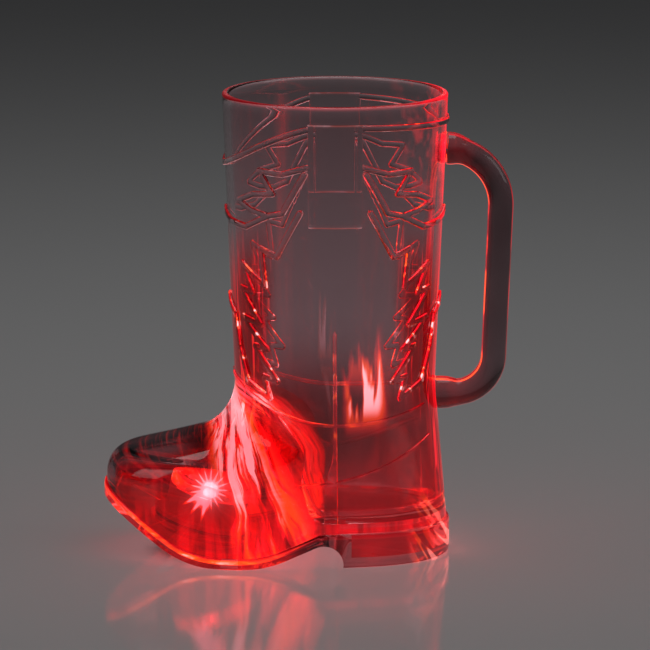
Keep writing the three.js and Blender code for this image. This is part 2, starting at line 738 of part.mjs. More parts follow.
// A plate under the cells, with a tongue that stands in the sleeve's slot up to the board.
function batteryPlate() {
  const disc = solid(rod(CELL_RADIUS - CELL_EDGE, plateBase, plateBase + CONTACT_SHEET, cellX));
  const tongueX = cellX - sleeveInner - SLEEVE_WALL / 2;
  const armSize = new THREE.Vector3(CELL_RADIUS, CONTACT_TONGUE, CONTACT_SHEET);
  const armX = tongueX + (CELL_RADIUS - CONTACT_SHEET) / 2;
  const arm = solid(block(armSize, armX, 0, plateBase + CONTACT_SHEET / 2));
  const tongueSize = new THREE.Vector3(CONTACT_SHEET, CONTACT_TONGUE, springTop - plateBase);
  const tongue = solid(block(tongueSize, tongueX, 0, (springTop + plateBase) / 2));
  return surface(joined(disc, arm, tongue));
}

function batteryCover() {
  const plate = solid(rod(COVER_RADIUS, COVER_OUTSET, coverTop));
  const buttonHole = solid(rod(BUTTON_RADIUS + GAP, 0, coverTop + PAST, buttonX));
  const sinkTop = COVER_OUTSET + SCREW_HEAD_HEIGHT + GAP;
  const screwHoles = [1, -1].map((side) => joined(
    solid(rod(SCREW_RADIUS + GAP, 0, coverTop + PAST, SCREW_BOSS_SET, side * screwY, SMALL_TURN_STEPS)),
    solid(rod(SCREW_HEAD_RADIUS + GAP, 0, sinkTop, SCREW_BOSS_SET, side * screwY, SMALL_TURN_STEPS)),
  ));
  return surface(cut(plate, buttonHole, ...screwHoles));
}

function coverScrew(side) {
  const neck = COVER_OUTSET + SCREW_HEAD_HEIGHT;
  const body = solid(turned([
    [0, COVER_OUTSET],
    [SCREW_HEAD_RADIUS, COVER_OUTSET],
    [SCREW_HEAD_RADIUS, neck],
    [SCREW_RADIUS, neck],
    [SCREW_RADIUS, neck + SCREW_LENGTH - SCREW_RADIUS],
    [0, neck + SCREW_LENGTH],
  ], SMALL_TURN_STEPS));
  const slots = [[SCREW_SLOT_LENGTH, SCREW_SLOT], [SCREW_SLOT, SCREW_SLOT_LENGTH]].map(([x, y]) =>
    solid(block(new THREE.Vector3(x, y, SCREW_HEAD_HEIGHT), 0, 0, COVER_OUTSET)));
  const geometry = surface(cut(body, ...slots));
  geometry.translate(SCREW_BOSS_SET, side * screwY, 0);
  return geometry;
}

const switchTop = boardBase - GAP;
const switchBase = switchTop - SWITCH_HEIGHT;
const plungerBase = switchBase - PLUNGER_LENGTH;

function switchBody() {
  const size = new THREE.Vector3(SWITCH_SIDE, SWITCH_SIDE, SWITCH_HEIGHT);
  const body = solid(block(size, buttonX, 0, switchBase + SWITCH_HEIGHT / 2));
  const boreTop = switchBase + 2 * PLUNGER_TRAVEL + GAP;
  return surface(cut(body, solid(rod(PLUNGER_RADIUS + GAP, 0, boreTop, buttonX, 0, SMALL_TURN_STEPS))));
}

function switchPlunger() {
  return rod(PLUNGER_RADIUS, plungerBase, switchBase + PLUNGER_TRAVEL, buttonX, 0, SMALL_TURN_STEPS);
}

function pushButton() {
  const face = COVER_OUTSET - BUTTON_PROUD;
  const collarBase = coverTop + GAP;
  const collarTop = collarBase + BUTTON_COLLAR_HEIGHT;
  const stemTop = plungerBase - GAP;
  const geometry = turned([
    [0, face + BUTTON_DISH],
    [BUTTON_RADIUS - 2 * BUTTON_DISH, face],
    [BUTTON_RADIUS, face + BUTTON_DISH],
    [BUTTON_RADIUS, collarBase],
    [buttonCollar, collarBase],
    [buttonCollar, collarTop],
    [BUTTON_STEM_RADIUS, collarTop],
    [BUTTON_STEM_RADIUS, stemTop],
    [0, stemTop],
  ]);
  geometry.translate(buttonX, 0, 0);
  return geometry;
}

// Finishes, from the photograph where it shows them.
const clear = { color: 0xb8a2a4, roughness: 0.08, metalness: 0, transparent: true, opacity: 0.35 };
const clearRed = { color: 0xd8202a, roughness: 0.12, metalness: 0, transparent: true, opacity: 0.45 };
const redLight = { color: 0xff2418, roughness: 0.2, metalness: 0, emissive: 0xff1810 };
const whitePlastic = { color: 0xe6e3dd, roughness: 0.5, metalness: 0 };
const blackPlastic = { color: 0x1b1b1d, roughness: 0.45, metalness: 0 };
const sealRubber = { color: 0x8a3030, roughness: 0.8, metalness: 0 };
const boardGreen = { color: 0x1f5a36, roughness: 0.5, metalness: 0 };
const steel = { color: 0xb9bcc0, roughness: 0.3, metalness: 1 };
const brass = { color: 0xc9a14e, roughness: 0.35, metalness: 1 };

function piece(parent, name, geometry, finish) {
  const mesh = new THREE.Mesh(geometry, new THREE.MeshStandardMaterial(finish));
  mesh.name = name;
  parent.add(mesh);
}

const cup = new THREE.Group();
piece(cup, 'boot_shell', bootShell(), clear);
piece(cup, 'outsole', outsole(), clearRed);
piece(cup, 'handle', handle(), clear);

const capsule = new THREE.Group();
capsule.rotation.y = capsuleTilt;
capsule.position.set(capsuleX, 0, capsuleZ);
cup.add(capsule);
const coverSeal = washer(portRadius, COVER_RADIUS - GAP, coverSealBase, coverSealBase + SEAL_THICKNESS);
const capsuleSeal = washer(portRadius, flangeRadius, capsuleSealBase, capsuleSealBase + SEAL_THICKNESS);
const chipZ = boardTop + GAP + CHIP_SIZE.z / 2;
piece(capsule, 'battery_cover', batteryCover(), whitePlastic);
piece(capsule, 'cover_seal', coverSeal, sealRubber);
piece(capsule, 'capsule_seal', capsuleSeal, sealRubber);
piece(capsule, 'capsule_housing', capsuleHousing(), whitePlastic);
piece(capsule, 'battery_plate', batteryPlate(), brass);
piece(capsule, 'battery_spring', batterySpring(), brass);
piece(capsule, 'circuit_board', rod(boardRadius, boardBase, boardTop), boardGreen);
piece(capsule, 'controller_chip', block(CHIP_SIZE, 0, 0, chipZ), blackPlastic);
piece(capsule, 'switch_body', switchBody(), blackPlastic);
piece(capsule, 'switch_plunger', switchPlunger(), whitePlastic);
piece(capsule, 'push_button', pushButton(), blackPlastic);
piece(capsule, 'lens_cap', lensCap(), clearRed);
for (let n = 0; n < CELL_COUNT; n += 1) {
  piece(capsule, `battery_${n + 1}`, cell(n), steel);
}
for (let n = 0; n < LED_COUNT; n += 1) {
  const between = (2 * Math.PI * n) / LED_COUNT + degToRad(LED_TURN);
  const turn = between + Math.PI / LED_COUNT;
  piece(capsule, `led_${n + 1}`, led(turn), redLight);
  piece(capsule, `resistor_${n + 1}`, resistor(between), blackPlastic);
}
piece(capsule, 'cover_screw_1', coverScrew(1), steel);
piece(capsule, 'cover_screw_2', coverScrew(-1), steel);

// The cup is centred between the toe's welt and the handle.
cup.position.x = (TOE_REACH + WELT - HANDLE_REACH) / 2;
const part = new THREE.Group();
part.add(cup);

export default part;
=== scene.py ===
"""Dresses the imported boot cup: clear moulded plastic, a lit toe, a finished light capsule and a studio.

Everything is in metres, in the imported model's own frame, with +Z up and the toe to -X.
"""

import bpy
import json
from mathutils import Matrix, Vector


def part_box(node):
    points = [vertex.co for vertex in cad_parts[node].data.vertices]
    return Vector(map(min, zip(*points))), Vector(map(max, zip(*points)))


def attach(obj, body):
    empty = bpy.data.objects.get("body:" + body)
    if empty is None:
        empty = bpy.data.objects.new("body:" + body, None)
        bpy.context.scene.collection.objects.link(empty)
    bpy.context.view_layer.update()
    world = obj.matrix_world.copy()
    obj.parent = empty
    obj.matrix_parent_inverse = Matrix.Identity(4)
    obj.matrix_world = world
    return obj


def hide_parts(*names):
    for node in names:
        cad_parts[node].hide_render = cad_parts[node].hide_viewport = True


bl_info = {
    "name": "Light-Up Boot Cup",
    "version": (1, 0, 0),
    "blender": (4, 5, 0),
    "location": "View3D > Sidebar > Boot Cup",
    "description": "Builds the clear boot cup's moulded surfaces, finishes and studio",
    "category": "Add Mesh",
}

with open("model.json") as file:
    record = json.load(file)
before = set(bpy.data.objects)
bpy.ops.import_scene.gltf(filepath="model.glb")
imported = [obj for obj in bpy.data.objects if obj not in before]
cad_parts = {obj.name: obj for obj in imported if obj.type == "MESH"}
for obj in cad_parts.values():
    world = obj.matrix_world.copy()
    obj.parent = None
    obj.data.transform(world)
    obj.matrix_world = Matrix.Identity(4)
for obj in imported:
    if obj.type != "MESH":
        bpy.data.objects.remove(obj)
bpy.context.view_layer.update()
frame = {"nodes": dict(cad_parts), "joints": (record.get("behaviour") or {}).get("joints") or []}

import json

import bpy
import numpy as np
from bpy.props import FloatProperty, FloatVectorProperty, PointerProperty
from mathutils import Matrix, Vector

# Width of the camera's sensor in millimetres.
SENSOR = 36.0

DARK = (0.0, 0.0, 0.0)

# A cut runs this far past the faces that it opens.
PAST = 0.005


def whole_turn(count):
    """Even steps round a circle."""
    return np.linspace(0.0, 2.0 * np.pi, count, endpoint=False)


# Fineness of the surfaces.
ROW_STEP = 0.0019
RIDGE_STEP = 0.0012
ARC_ROWS = 16
STRAP_ROWS = 60
SOLE_ROWS = 40
ARCH_POINTS = 13
OUTLINE_TURNS = whole_turn(200)
RIDGE_TURNS = whole_turn(12)
STRAP_TURNS = whole_turn(48)
HANDLE_TURNS = whole_turn(48)
REVOLVE_TURNS = whole_turn(96)
DOME_TURNS = np.linspace(0.0, np.pi / 2.0, ARC_ROWS)
EDGE_TURNS = np.linspace(0.0, np.pi / 2.0, ARC_ROWS // 2)
SHARP_ANGLE = np.radians(34.0)

# Two places on a line closer than this are one, and slopes are taken over a step this long.
SAME_PLACE = 1e-7
SLOPE_STEP = 1e-4

# Powers of a sine or cosine that square off a section.
BAND_POWER = 0.55
STRAP_SIDE_POWER = 0.14
STRAP_FACE_POWER = 0.3
WELT_POWER = 0.8

# Where a skin is closed by a fan: the least squared taper of a band's tip, the share of the plan that is left
# in the middle of the sole, and the radius that is left on the axis of a lens and of a light.
BAND_TIP = 0.02
SOLE_CORE = 0.03
LENS_HUB = 0.0002
LED_HUB = 0.0001

# A strap's hem: how far along it, and how far across it as a turn's cosine, from where it starts to where it
# is whole.
HEM_ENDS = (0.96, 1.0)
HEM_SIDES = (0.93, 0.99)

# Flames in side view: reach from the side's middle, and drop below the rim.
UPPER_FLAME = ((0.0095, 0.021), (0.018, 0.0238), (0.026, 0.0234), (0.0215, 0.031), (0.028, 0.032),
               (0.033, 0.0352), (0.0285, 0.0378), (0.023, 0.039), (0.0305, 0.044), (0.036, 0.0435),
               (0.0392, 0.041))
INNER_FLAME = ((0.0105, 0.0235), (0.018, 0.0375), (0.023, 0.039))
LOWER_FLAME = ((0.012, 0.037), (0.020, 0.053), (0.0255, 0.0508), (0.024, 0.064), (0.032, 0.0574),
               (0.0285, 0.067), (0.0322, 0.0663), (0.0255, 0.078), (0.0315, 0.0765), (0.0235, 0.0865),
               (0.0275, 0.086), (0.020, 0.0975), (0.0245, 0.0963), (0.0225, 0.104), (0.030, 0.0995),
               (0.033, 0.088), (0.0345, 0.077), (0.037, 0.072))

# Where the light and shade painted on the plastic change: first where a change starts, then where it is
# whole.
# Heights above the floor, in metres.
PAINTED_RED_HEIGHTS = (0.080, 0.044)
WALL_TOP = (0.122, 0.090)
WALL_FOOT = (0.044, 0.058)
BACK_FOOT = (0.010, 0.020)
BACK_LOW = (0.038, 0.062)
SEAT_HEIGHTS = (0.126, 0.140)
SEAM_HEIGHTS = (0.084, 0.066)
SEAM_BASE = (0.036, 0.050)
FLAME_HEIGHTS = (0.122, 0.090)
WISP_BASE = (0.047, 0.061)
HAZE_HEIGHTS = (0.030, 0.008)
TOE_ABOVE = (0.026, 0.034)
FLOOR_GLOW = (0.024, 0.018)
HEEL_VEIL = (0.050, 0.012)
HEEL_WALL = (0.042, 0.016)
HEEL_HEIGHTS = (0.030, 0.018)

# Lengths along the boot from the shaft's axis, with the toe negative.
PAINTED_RED_TOE = (0.006, -0.024)
RIM_BACK = (0.018, 0.038)
BACK_ENDS = (0.028, 0.036)
SEAT_REACH = (0.058, 0.040)
FLAME_BACK = (0.004, 0.026)
WISP_FRONT = (0.002, 0.005)
WISP_BACK = (0.019, 0.014)
HAZE_TOE = (-0.084, -0.060)
TOE_TOP = (-0.046, -0.060)
HEEL_UNDER = (-0.010, 0.002)
BOWL_FRONT = (-0.004, -0.016)
SOLE_TOE = (-0.012, -0.026)
WELT_TIP = (-0.078, -0.058)
HEEL_FRONT = (0.000, 0.006)
HEEL_CORNER = (0.024, 0.034)

# Lengths either way along the boot from the shaft's axis.
WALL_ENDS = (0.020, 0.030)
FLAME_ENDS = (0.006, 0.024)
SEAM_SPREAD = (0.012, 0.002)

# Across the boot: either way from its middle, and over to the near side.
FLOOR_MIDDLE = (0.026, 0.004)
WISP_NEAR = (0.004, -0.004)
STAR_SIDE = (-0.010, -0.020)

# Depths below the rim and ahead of the boot's back, and the share of a band's side that is its edge.
RIM_GLOW = 0.0016
BACK_EDGE = (0.0016, 0.0003)
FLANK = (0.45, 0.82)

# The handle's lines of light, by how far its surface faces towards or away from the shaft.
LINE_START = (0.84, 0.93)
LINE_END = (0.95, 0.985)
SHAFT_SIDE = (-0.2, 0.2)

# How far light reaches from the lens, from a light that is on, into its housing and from a light's chip.
RAY_REACH = 0.024
SHARD_REACH = 0.008
HOUSING_REACH = 0.012
CHIP_REACH = 0.0005

# The lights, and the one that is on. The lens shows shards of light on the toe's side of it.
LED_COUNT = 3
LIT_LED = "led_3"
SHARD_SIDE = (0.002, -0.003)

# The painted star of light before the light that is on: its reach, its shift from the light, the count of its
# points, and the turns at which its longer shards start and end.
STAR_REACH = 0.0080
STAR_SHIFT = (0.0008, 0.0, 0.0056)
STAR_POINTS = 17
SHARD_START = (-3.00, -2.65)
SHARD_END = (-1.45, -1.70)

# The fan of light starts this far ahead of the shaft and above its foot. It shows from an angle below level,
# between a front and a rear that lean towards the toe as they rise. It is palest from a steeper angle and
# high up.
FAN_AHEAD = 0.004
FAN_ABOVE = 0.010
FAN_TOP = (0.003, 0.014)
FAN_BACK = (0.94, 1.14)
FAN_PALE = (1.06, 1.26)
FAN_FALL = (0.095, 0.036)
FAN_LEAN = 0.24
FAN_FRONT = (-0.037, -0.030)
FAN_REAR = (0.000, -0.009)

# The least glow of a wall that light is carried through, and the depths of flow ripples and of fine grain.
FAINT_GLOW = 0.001
RIPPLE_DEPTH = 0.0005
GRAIN_DEPTH = 0.0001

# The studio: the floor's reach, where the lights point, each light's place and side, and how often light may
# bounce in the clear plastic.
FLOOR_REACH = 4.0
LIGHT_AIM = (0.0, 0.0, 0.08)
TOP_LIGHT = ((0.0, 0.25, 1.1), 0.8)
LEFT_LIGHT = ((-1.0, -0.5, 0.6), 0.6)
RIGHT_LIGHT = ((1.0, -0.3, 0.6), 0.6)
LIGHT_BOUNCES = 24

# Short rays round the brightest points.
GLARE = {
    "Threshold": 2.6, "Maximum": 60.0, "Clamp": True, "Strength": 0.5, "Saturation": 0.35,
    "Tint": (1.0, 0.5, 0.55, 1.0), "Streaks": 15, "Streaks Angle": 0.2, "Iterations": 3, "Fade": 0.88,
    "Color Modulation": 0.0,
}


def size(name, default, description):
    """A length that a user may change."""
    return FloatProperty(name=name, description=description, default=default, unit="LENGTH", precision=4)


def angle(name, default, description):
    """An angle that a user may change, given in degrees."""
    return FloatProperty(name=name, description=description, default=np.radians(default), subtype="ANGLE")


def amount(name, default, description):
    """A plain number that a user may change."""
    return FloatProperty(name=name, description=description, default=default)


def colour(name, default, description):
    """A linear colour that a user may change."""
    return FloatVectorProperty(
        name=name, description=description, default=default, size=3, min=0.0, max=1.0, subtype="COLOR")


class BootSizes(bpy.types.PropertyGroup):
    """Sizes of the boot's shaft, foot and cavity."""

    cup_height: size("Cup Height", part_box("boot_shell")[1].z, "Height of the rim")
    mouth_radius: size("Mouth Radius", 0.0397, "Outside radius at the rim")
    ankle_radius: size("Ankle Radius", 0.0356, "Outside radius at the foot of the shaft")
    ankle_height: size("Ankle Height", 0.062, "Height of the foot of the shaft")
    wall: size("Wall", 0.0026, "Thickness of the moulded wall")
    rim_round: size("Rim Rounding", 0.0009, "Radius of the lip's edges")
    toe_reach: size("Toe Reach", 0.0814, "From the shaft's axis to the toe")
    counter_reach: size("Counter Reach", 0.04, "From the shaft's axis to the back of the heel")
    ball_half_width: size("Ball Half Width", 0.033, "Half the foot's width at the ball")
    heel_half_width: size("Heel Half Width", 0.0285, "Half the foot's width at the heel")
    waist_front: size("Waist Front", -0.038, "Where the ball's full width ends")
    waist_back: size("Waist Back", 0.012, "Where the heel's width starts")
    foot_side_height: size("Foot Side Height", 0.018, "Where the sides start to widen into the shaft")
    vamp_angle: angle("Vamp Angle", 12.8, "Slope of the vamp")
    instep_radius: size("Instep Radius", 0.019, "Radius between the vamp and the shaft")
    toe_round: size("Toe Rounding", 0.0095, "Radius of the toe in side view")
    round_power: amount("Shaft Power", 2.0, "Squareness of the shaft's outline")
    toe_power: amount("Toe Power", 2.6, "Squareness of the toe's outline")
    vamp_power: amount("Vamp Power", 1.8, "Squareness of the vamp's outline")
    counter_power: amount("Counter Power", 2.2, "Squareness of the heel's outline")
    cavity_floor: size("Cavity Floor", 0.0169, "Height of the drinking cavity's floor")
    cavity_round: size("Cavity Rounding", 0.006, "Rounding of the cavity's floor")
    cavity_front: size("Cavity Front", 0.012, "Reach of the cavity's floor towards the toe")
    chamber_drop: size("Chamber Drop", 0.010, "From the foot of the shaft down to the dry chamber's top")


class SoleSizes(bpy.types.PropertyGroup):
    """Sizes of the outsole and heel."""

    thickness: size("Thickness", 0.0035, "Thickness of the sole")
    welt: size("Welt", 0.001, "How far the sole stands out from the boot")
    edge_round: size("Edge Rounding", 0.0009, "Radius of the welt's edges")
    ball_front: size("Ball Front", -0.04, "Where the flat of the ball starts")
    ball_back: size("Ball Back", -0.034, "Where the flat of the ball ends")
    spring_radius: size("Toe Spring Radius", 0.038, "Radius of the toe's upward bend")
    spring_angle: angle("Toe Spring Angle", 35.5, "Turn of the toe's upward bend")
    shank_radius: size("Shank Radius", 0.045, "Radius of the bend up to the shank")
    shank_angle: angle("Shank Angle", 22.5, "Slope of the shank")
    heel_top: size("Heel Top", 0.012, "Height of the sole's upper face at the heel")
    heel_breast: size("Heel Breast", 0.003, "Where the heel's front face stands")
    breast_fillet: size("Breast Fillet", 0.007, "Radius between the shank and the heel")
    heel_floor: size("Heel Floor", 0.003, "Thickness under the hollow heel")
    rib_height: size("Rib Height", 0.0015, "Height of the weld rib inside the welt")
    rib_width: size("Rib Width", 0.0012, "Width of the weld rib")
    gap: size("Weld Gap", 0.0003, "Clearance along the weld line")


class ReliefSizes(bpy.types.PropertyGroup):
    """Sizes of the raised pattern on the shaft and the seams on the foot."""

    height: size("Height", 0.001, "How far the relief stands out")
    sink: size("Sink", 0.0006, "How far a band's middle lies under the surface")
    bead_width: size("Bead Width", 0.0024, "Width of a flame's band")
    seam_width: size("Seam Width", 0.0014, "Width of a seam")
    seam_height: size("Seam Height", 0.0006, "How far a seam stands out")
    strap_width: size("Strap Width", 0.019, "Width of a pull strap")
    strap_length: size("Strap Length", 0.036, "Length of a pull strap")
    strap_drop: size("Strap Drop", 0.006, "From the rim down to the straps")
    collar_crest: size("Collar Crest", 0.004, "Where the front collar's curve is level")
    collar_front_dip: size("Collar Front Dip", 0.019, "Drop of the collar at the front")
    collar_back_dip: size("Collar Back Dip", 0.0036, "Drop of the collar at the back")
    side_seam_top: size("Side Seam Top", 0.071, "Top of the side seam")
    vamp_seam_height: size("Vamp Seam Height", 0.0526, "Lowest place of the vamp seam")
    vamp_front_rise: size("Vamp Front Rise", 0.0127, "Rise of the vamp seam to the front")
    vamp_back_rise: size("Vamp Back Rise", 0.004, "Rise of the vamp seam to the back")
    vamp_seam_back: size("Vamp Seam Back", 0.031, "Where the vamp seam ends at the back")
    counter_seam_height: size("Counter Seam Height", 0.030, "Lowest place of the counter seam")
    counter_seam_rise: size("Counter Seam Rise", 0.015, "Rise of the counter seam")
    counter_seam_front: size("Counter Seam Front", -0.012, "Front end of the counter seam")
    counter_seam_back: size("Counter Seam Back", 0.033, "Back end of the counter seam")


class HandleSizes(bpy.types.PropertyGroup):
    """Sizes of the bar handle."""

    reach: size("Reach", 0.063, "From the shaft's axis to the handle's outside")
    thickness: size("Thickness", 0.009, "Thickness in side view")
    width: size("Width", 0.01, "Width across")
    power: amount("Section Power", 2.6, "Squareness of the section")
    drop: size("Drop", 0.02, "From the rim down to the upper arm")
    span: size("Span", 0.088, "Between the two arms")
    top_bend: size("Top Bend", 0.02, "Radius of the upper bend")
    foot_bend: size("Foot Bend", 0.014, "Radius of the lower bend")
    lean: angle("Lean", 2.2, "Lean of the grip")
    pad_extra: size("Pad Swell", 0.0022, "How much wider the ends are")
    pad_length: size("Pad Length", 0.009, "Length over which the ends swell")


class CapsuleSizes(bpy.types.PropertyGroup):
    """Sizes of the light capsule, up its own axis from the sole's lower face."""

    board_height: size("Board Height", 0.0194, "Height of the middle of the circuit board")
    cover_radius: size("Cover Radius", 0.0163, "Radius of the cover's recess")
    boss_radius: size("Boss Radius", 0.0186, "Radius of the sole's boss")
    port_radius: size("Port Radius", 0.01275, "Radius of the port through the sole")
    flange_radius: size("Flange Radius", 0.01735, "Radius of the room for the housing's flange")
    ledge_base: size("Ledge Base", 0.0068, "Lower face of the ledge")
    ledge_top: size("Ledge Top", 0.0084, "Upper face of the ledge")
    lens_base: size("Lens Base", 0.0205, "Lower face of the lens")
    lens_radius: size("Lens Radius", 0.01425, "Outside radius of the lens")
    lens_rim: size("Lens Rim", 0.004, "Height of the lens's straight rim")
    lens_rise: size("Lens Rise", 0.0036, "Rise of the lens's dome")
    lens_wall: size("Lens Wall", 0.0014, "Wall of the lens")
    lip_radius: size("Lip Radius", 0.01215, "Outside radius of the lip that seats in the housing")
    led_base: size("Light Base", 0.0202, "Lower face of the lights")
    led_radius: size("Light Radius", 0.0025, "Radius of a light's dome")
    led_flange: size("Light Flange", 0.0029, "Radius of a light's flange")
    led_flange_height: size("Light Flange Height", 0.001, "Height of a light's flange")
    led_height: size("Light Height", 0.0048, "Height of a light")
    led_circle: size("Light Circle", 0.0066, "Radius of the circle of lights")
    led_turn: angle("Light Turn", -30.0, "Turn of the lights about the capsule's axis")


class GlowLook(bpy.types.PropertyGroup):
    """Colours and strengths of the clear plastic, and of the light and shade painted on it."""

    smoke: colour("Smoke", (0.95, 0.74, 0.78), "Tint of the clear plastic")
    haze: colour("Haze", (0.19, 0.095, 0.11), "Deeper tint of the handle")
    # Painted light: the light's red, painted into the colour of the plastic that it fills.
    painted_light_red: colour("Painted Light Red", (0.62, 0.042, 0.066), "Tint of the plastic that the light fills")
    # Painted shade: a darker red painted into the colour for shaded streaks, the dark outlines of the relief
    # and hems, and the heel's corner.
    painted_shade_red: colour("Painted Shade Red", (0.34, 0.009, 0.018), "Tint of the darker streaks in the toe")
    rose: colour("Rose", (0.95, 0.42, 0.44), "Tint of the lens")
    red: colour("Red", (1.0, 0.008, 0.022), "Colour of the light")
    ember: colour("Ember", (1.0, 0.075, 0.006), "Colour of the light where it is warm")
    flare: colour("Flare", (1.0, 0.46, 0.50), "Colour of the light where it is brightest")
    core: colour("Core", (1.0, 0.45, 0.42), "Colour of the lights' chips")
    dome: colour("Dome", (0.11, 0.045, 0.038), "Colour of the lights round their chips")
    bend: amount("Index of Refraction", 1.57, "How strongly the plastic bends light")
    strength: amount("Glow Strength", 2.0, "Brightness of the lit surfaces")
    led_full: amount("Full Light", 30.0, "Brightness of the light that is on")
    led_low: amount("Low Light", 6.0, "Brightness of the two lights that are turned down")


class StudioLook(bpy.types.PropertyGroup):
    """The plain floor, the soft light and the camera."""

    floor_colour: colour("Floor Colour", (0.78, 0.78, 0.78), "Colour of the floor")
    world_colour: colour("Surround Colour", (0.022, 0.022, 0.023), "Colour of the dim surround")
    top_power: amount("Top Light", 2.3, "Power of the overhead light in watts")
    side_power: amount("Side Lights", 0.8, "Power of each side light in watts")
    camera_distance: size("Camera Distance", 1.336, "From the shaft's axis, level")
    camera_height: size("Camera Height", 0.358, "Above the floor")
    camera_offset: size("Camera Offset", -0.0035, "Along the boot from the shaft's axis")
    camera_pitch: angle("Camera Pitch", 11.7, "Below level")
    focal_length: amount("Focal Length", 212.8, "In millimetres on a 36 mm sensor")


def lerp(low, high, share):
    """The value a share of the way from low to high."""
    return low + (high - low) * share


def smoothstep(value, low, high):
    """3 s^2 - 2 s^3, where s is how far value has come from low to high, held to 0 and 1."""
    share = np.clip((value - low) / (high - low), 0.0, 1.0)
    return share * share * (3.0 - 2.0 * share)


def signed_power(value, power):
    """The power of a value's size, with its sign kept."""
    return np.sign(value) * np.abs(value) ** power


def arc(x, z, radius, start, end, rows=ARC_ROWS):
    """Points of a circle about (x, z) from one angle to another."""
    turn = np.linspace(start, end, rows)
    return np.stack([x + radius * np.cos(turn), z + radius * np.sin(turn)], axis=-1)


def evenly(points, step):
    """A line's own points, with more between them so that none are further apart than a step."""
    lengths = np.hypot(*np.diff(points, axis=0).T)
    way = np.concatenate([[0.0], np.cumsum(lengths)])
    places = np.union1d(way, np.arange(0.0, way[-1], step))
    places = places[np.concatenate([[True], np.diff(places) > SAME_PLACE])]
    return np.stack([np.interp(places, way, column) for column in points.T], axis=-1)


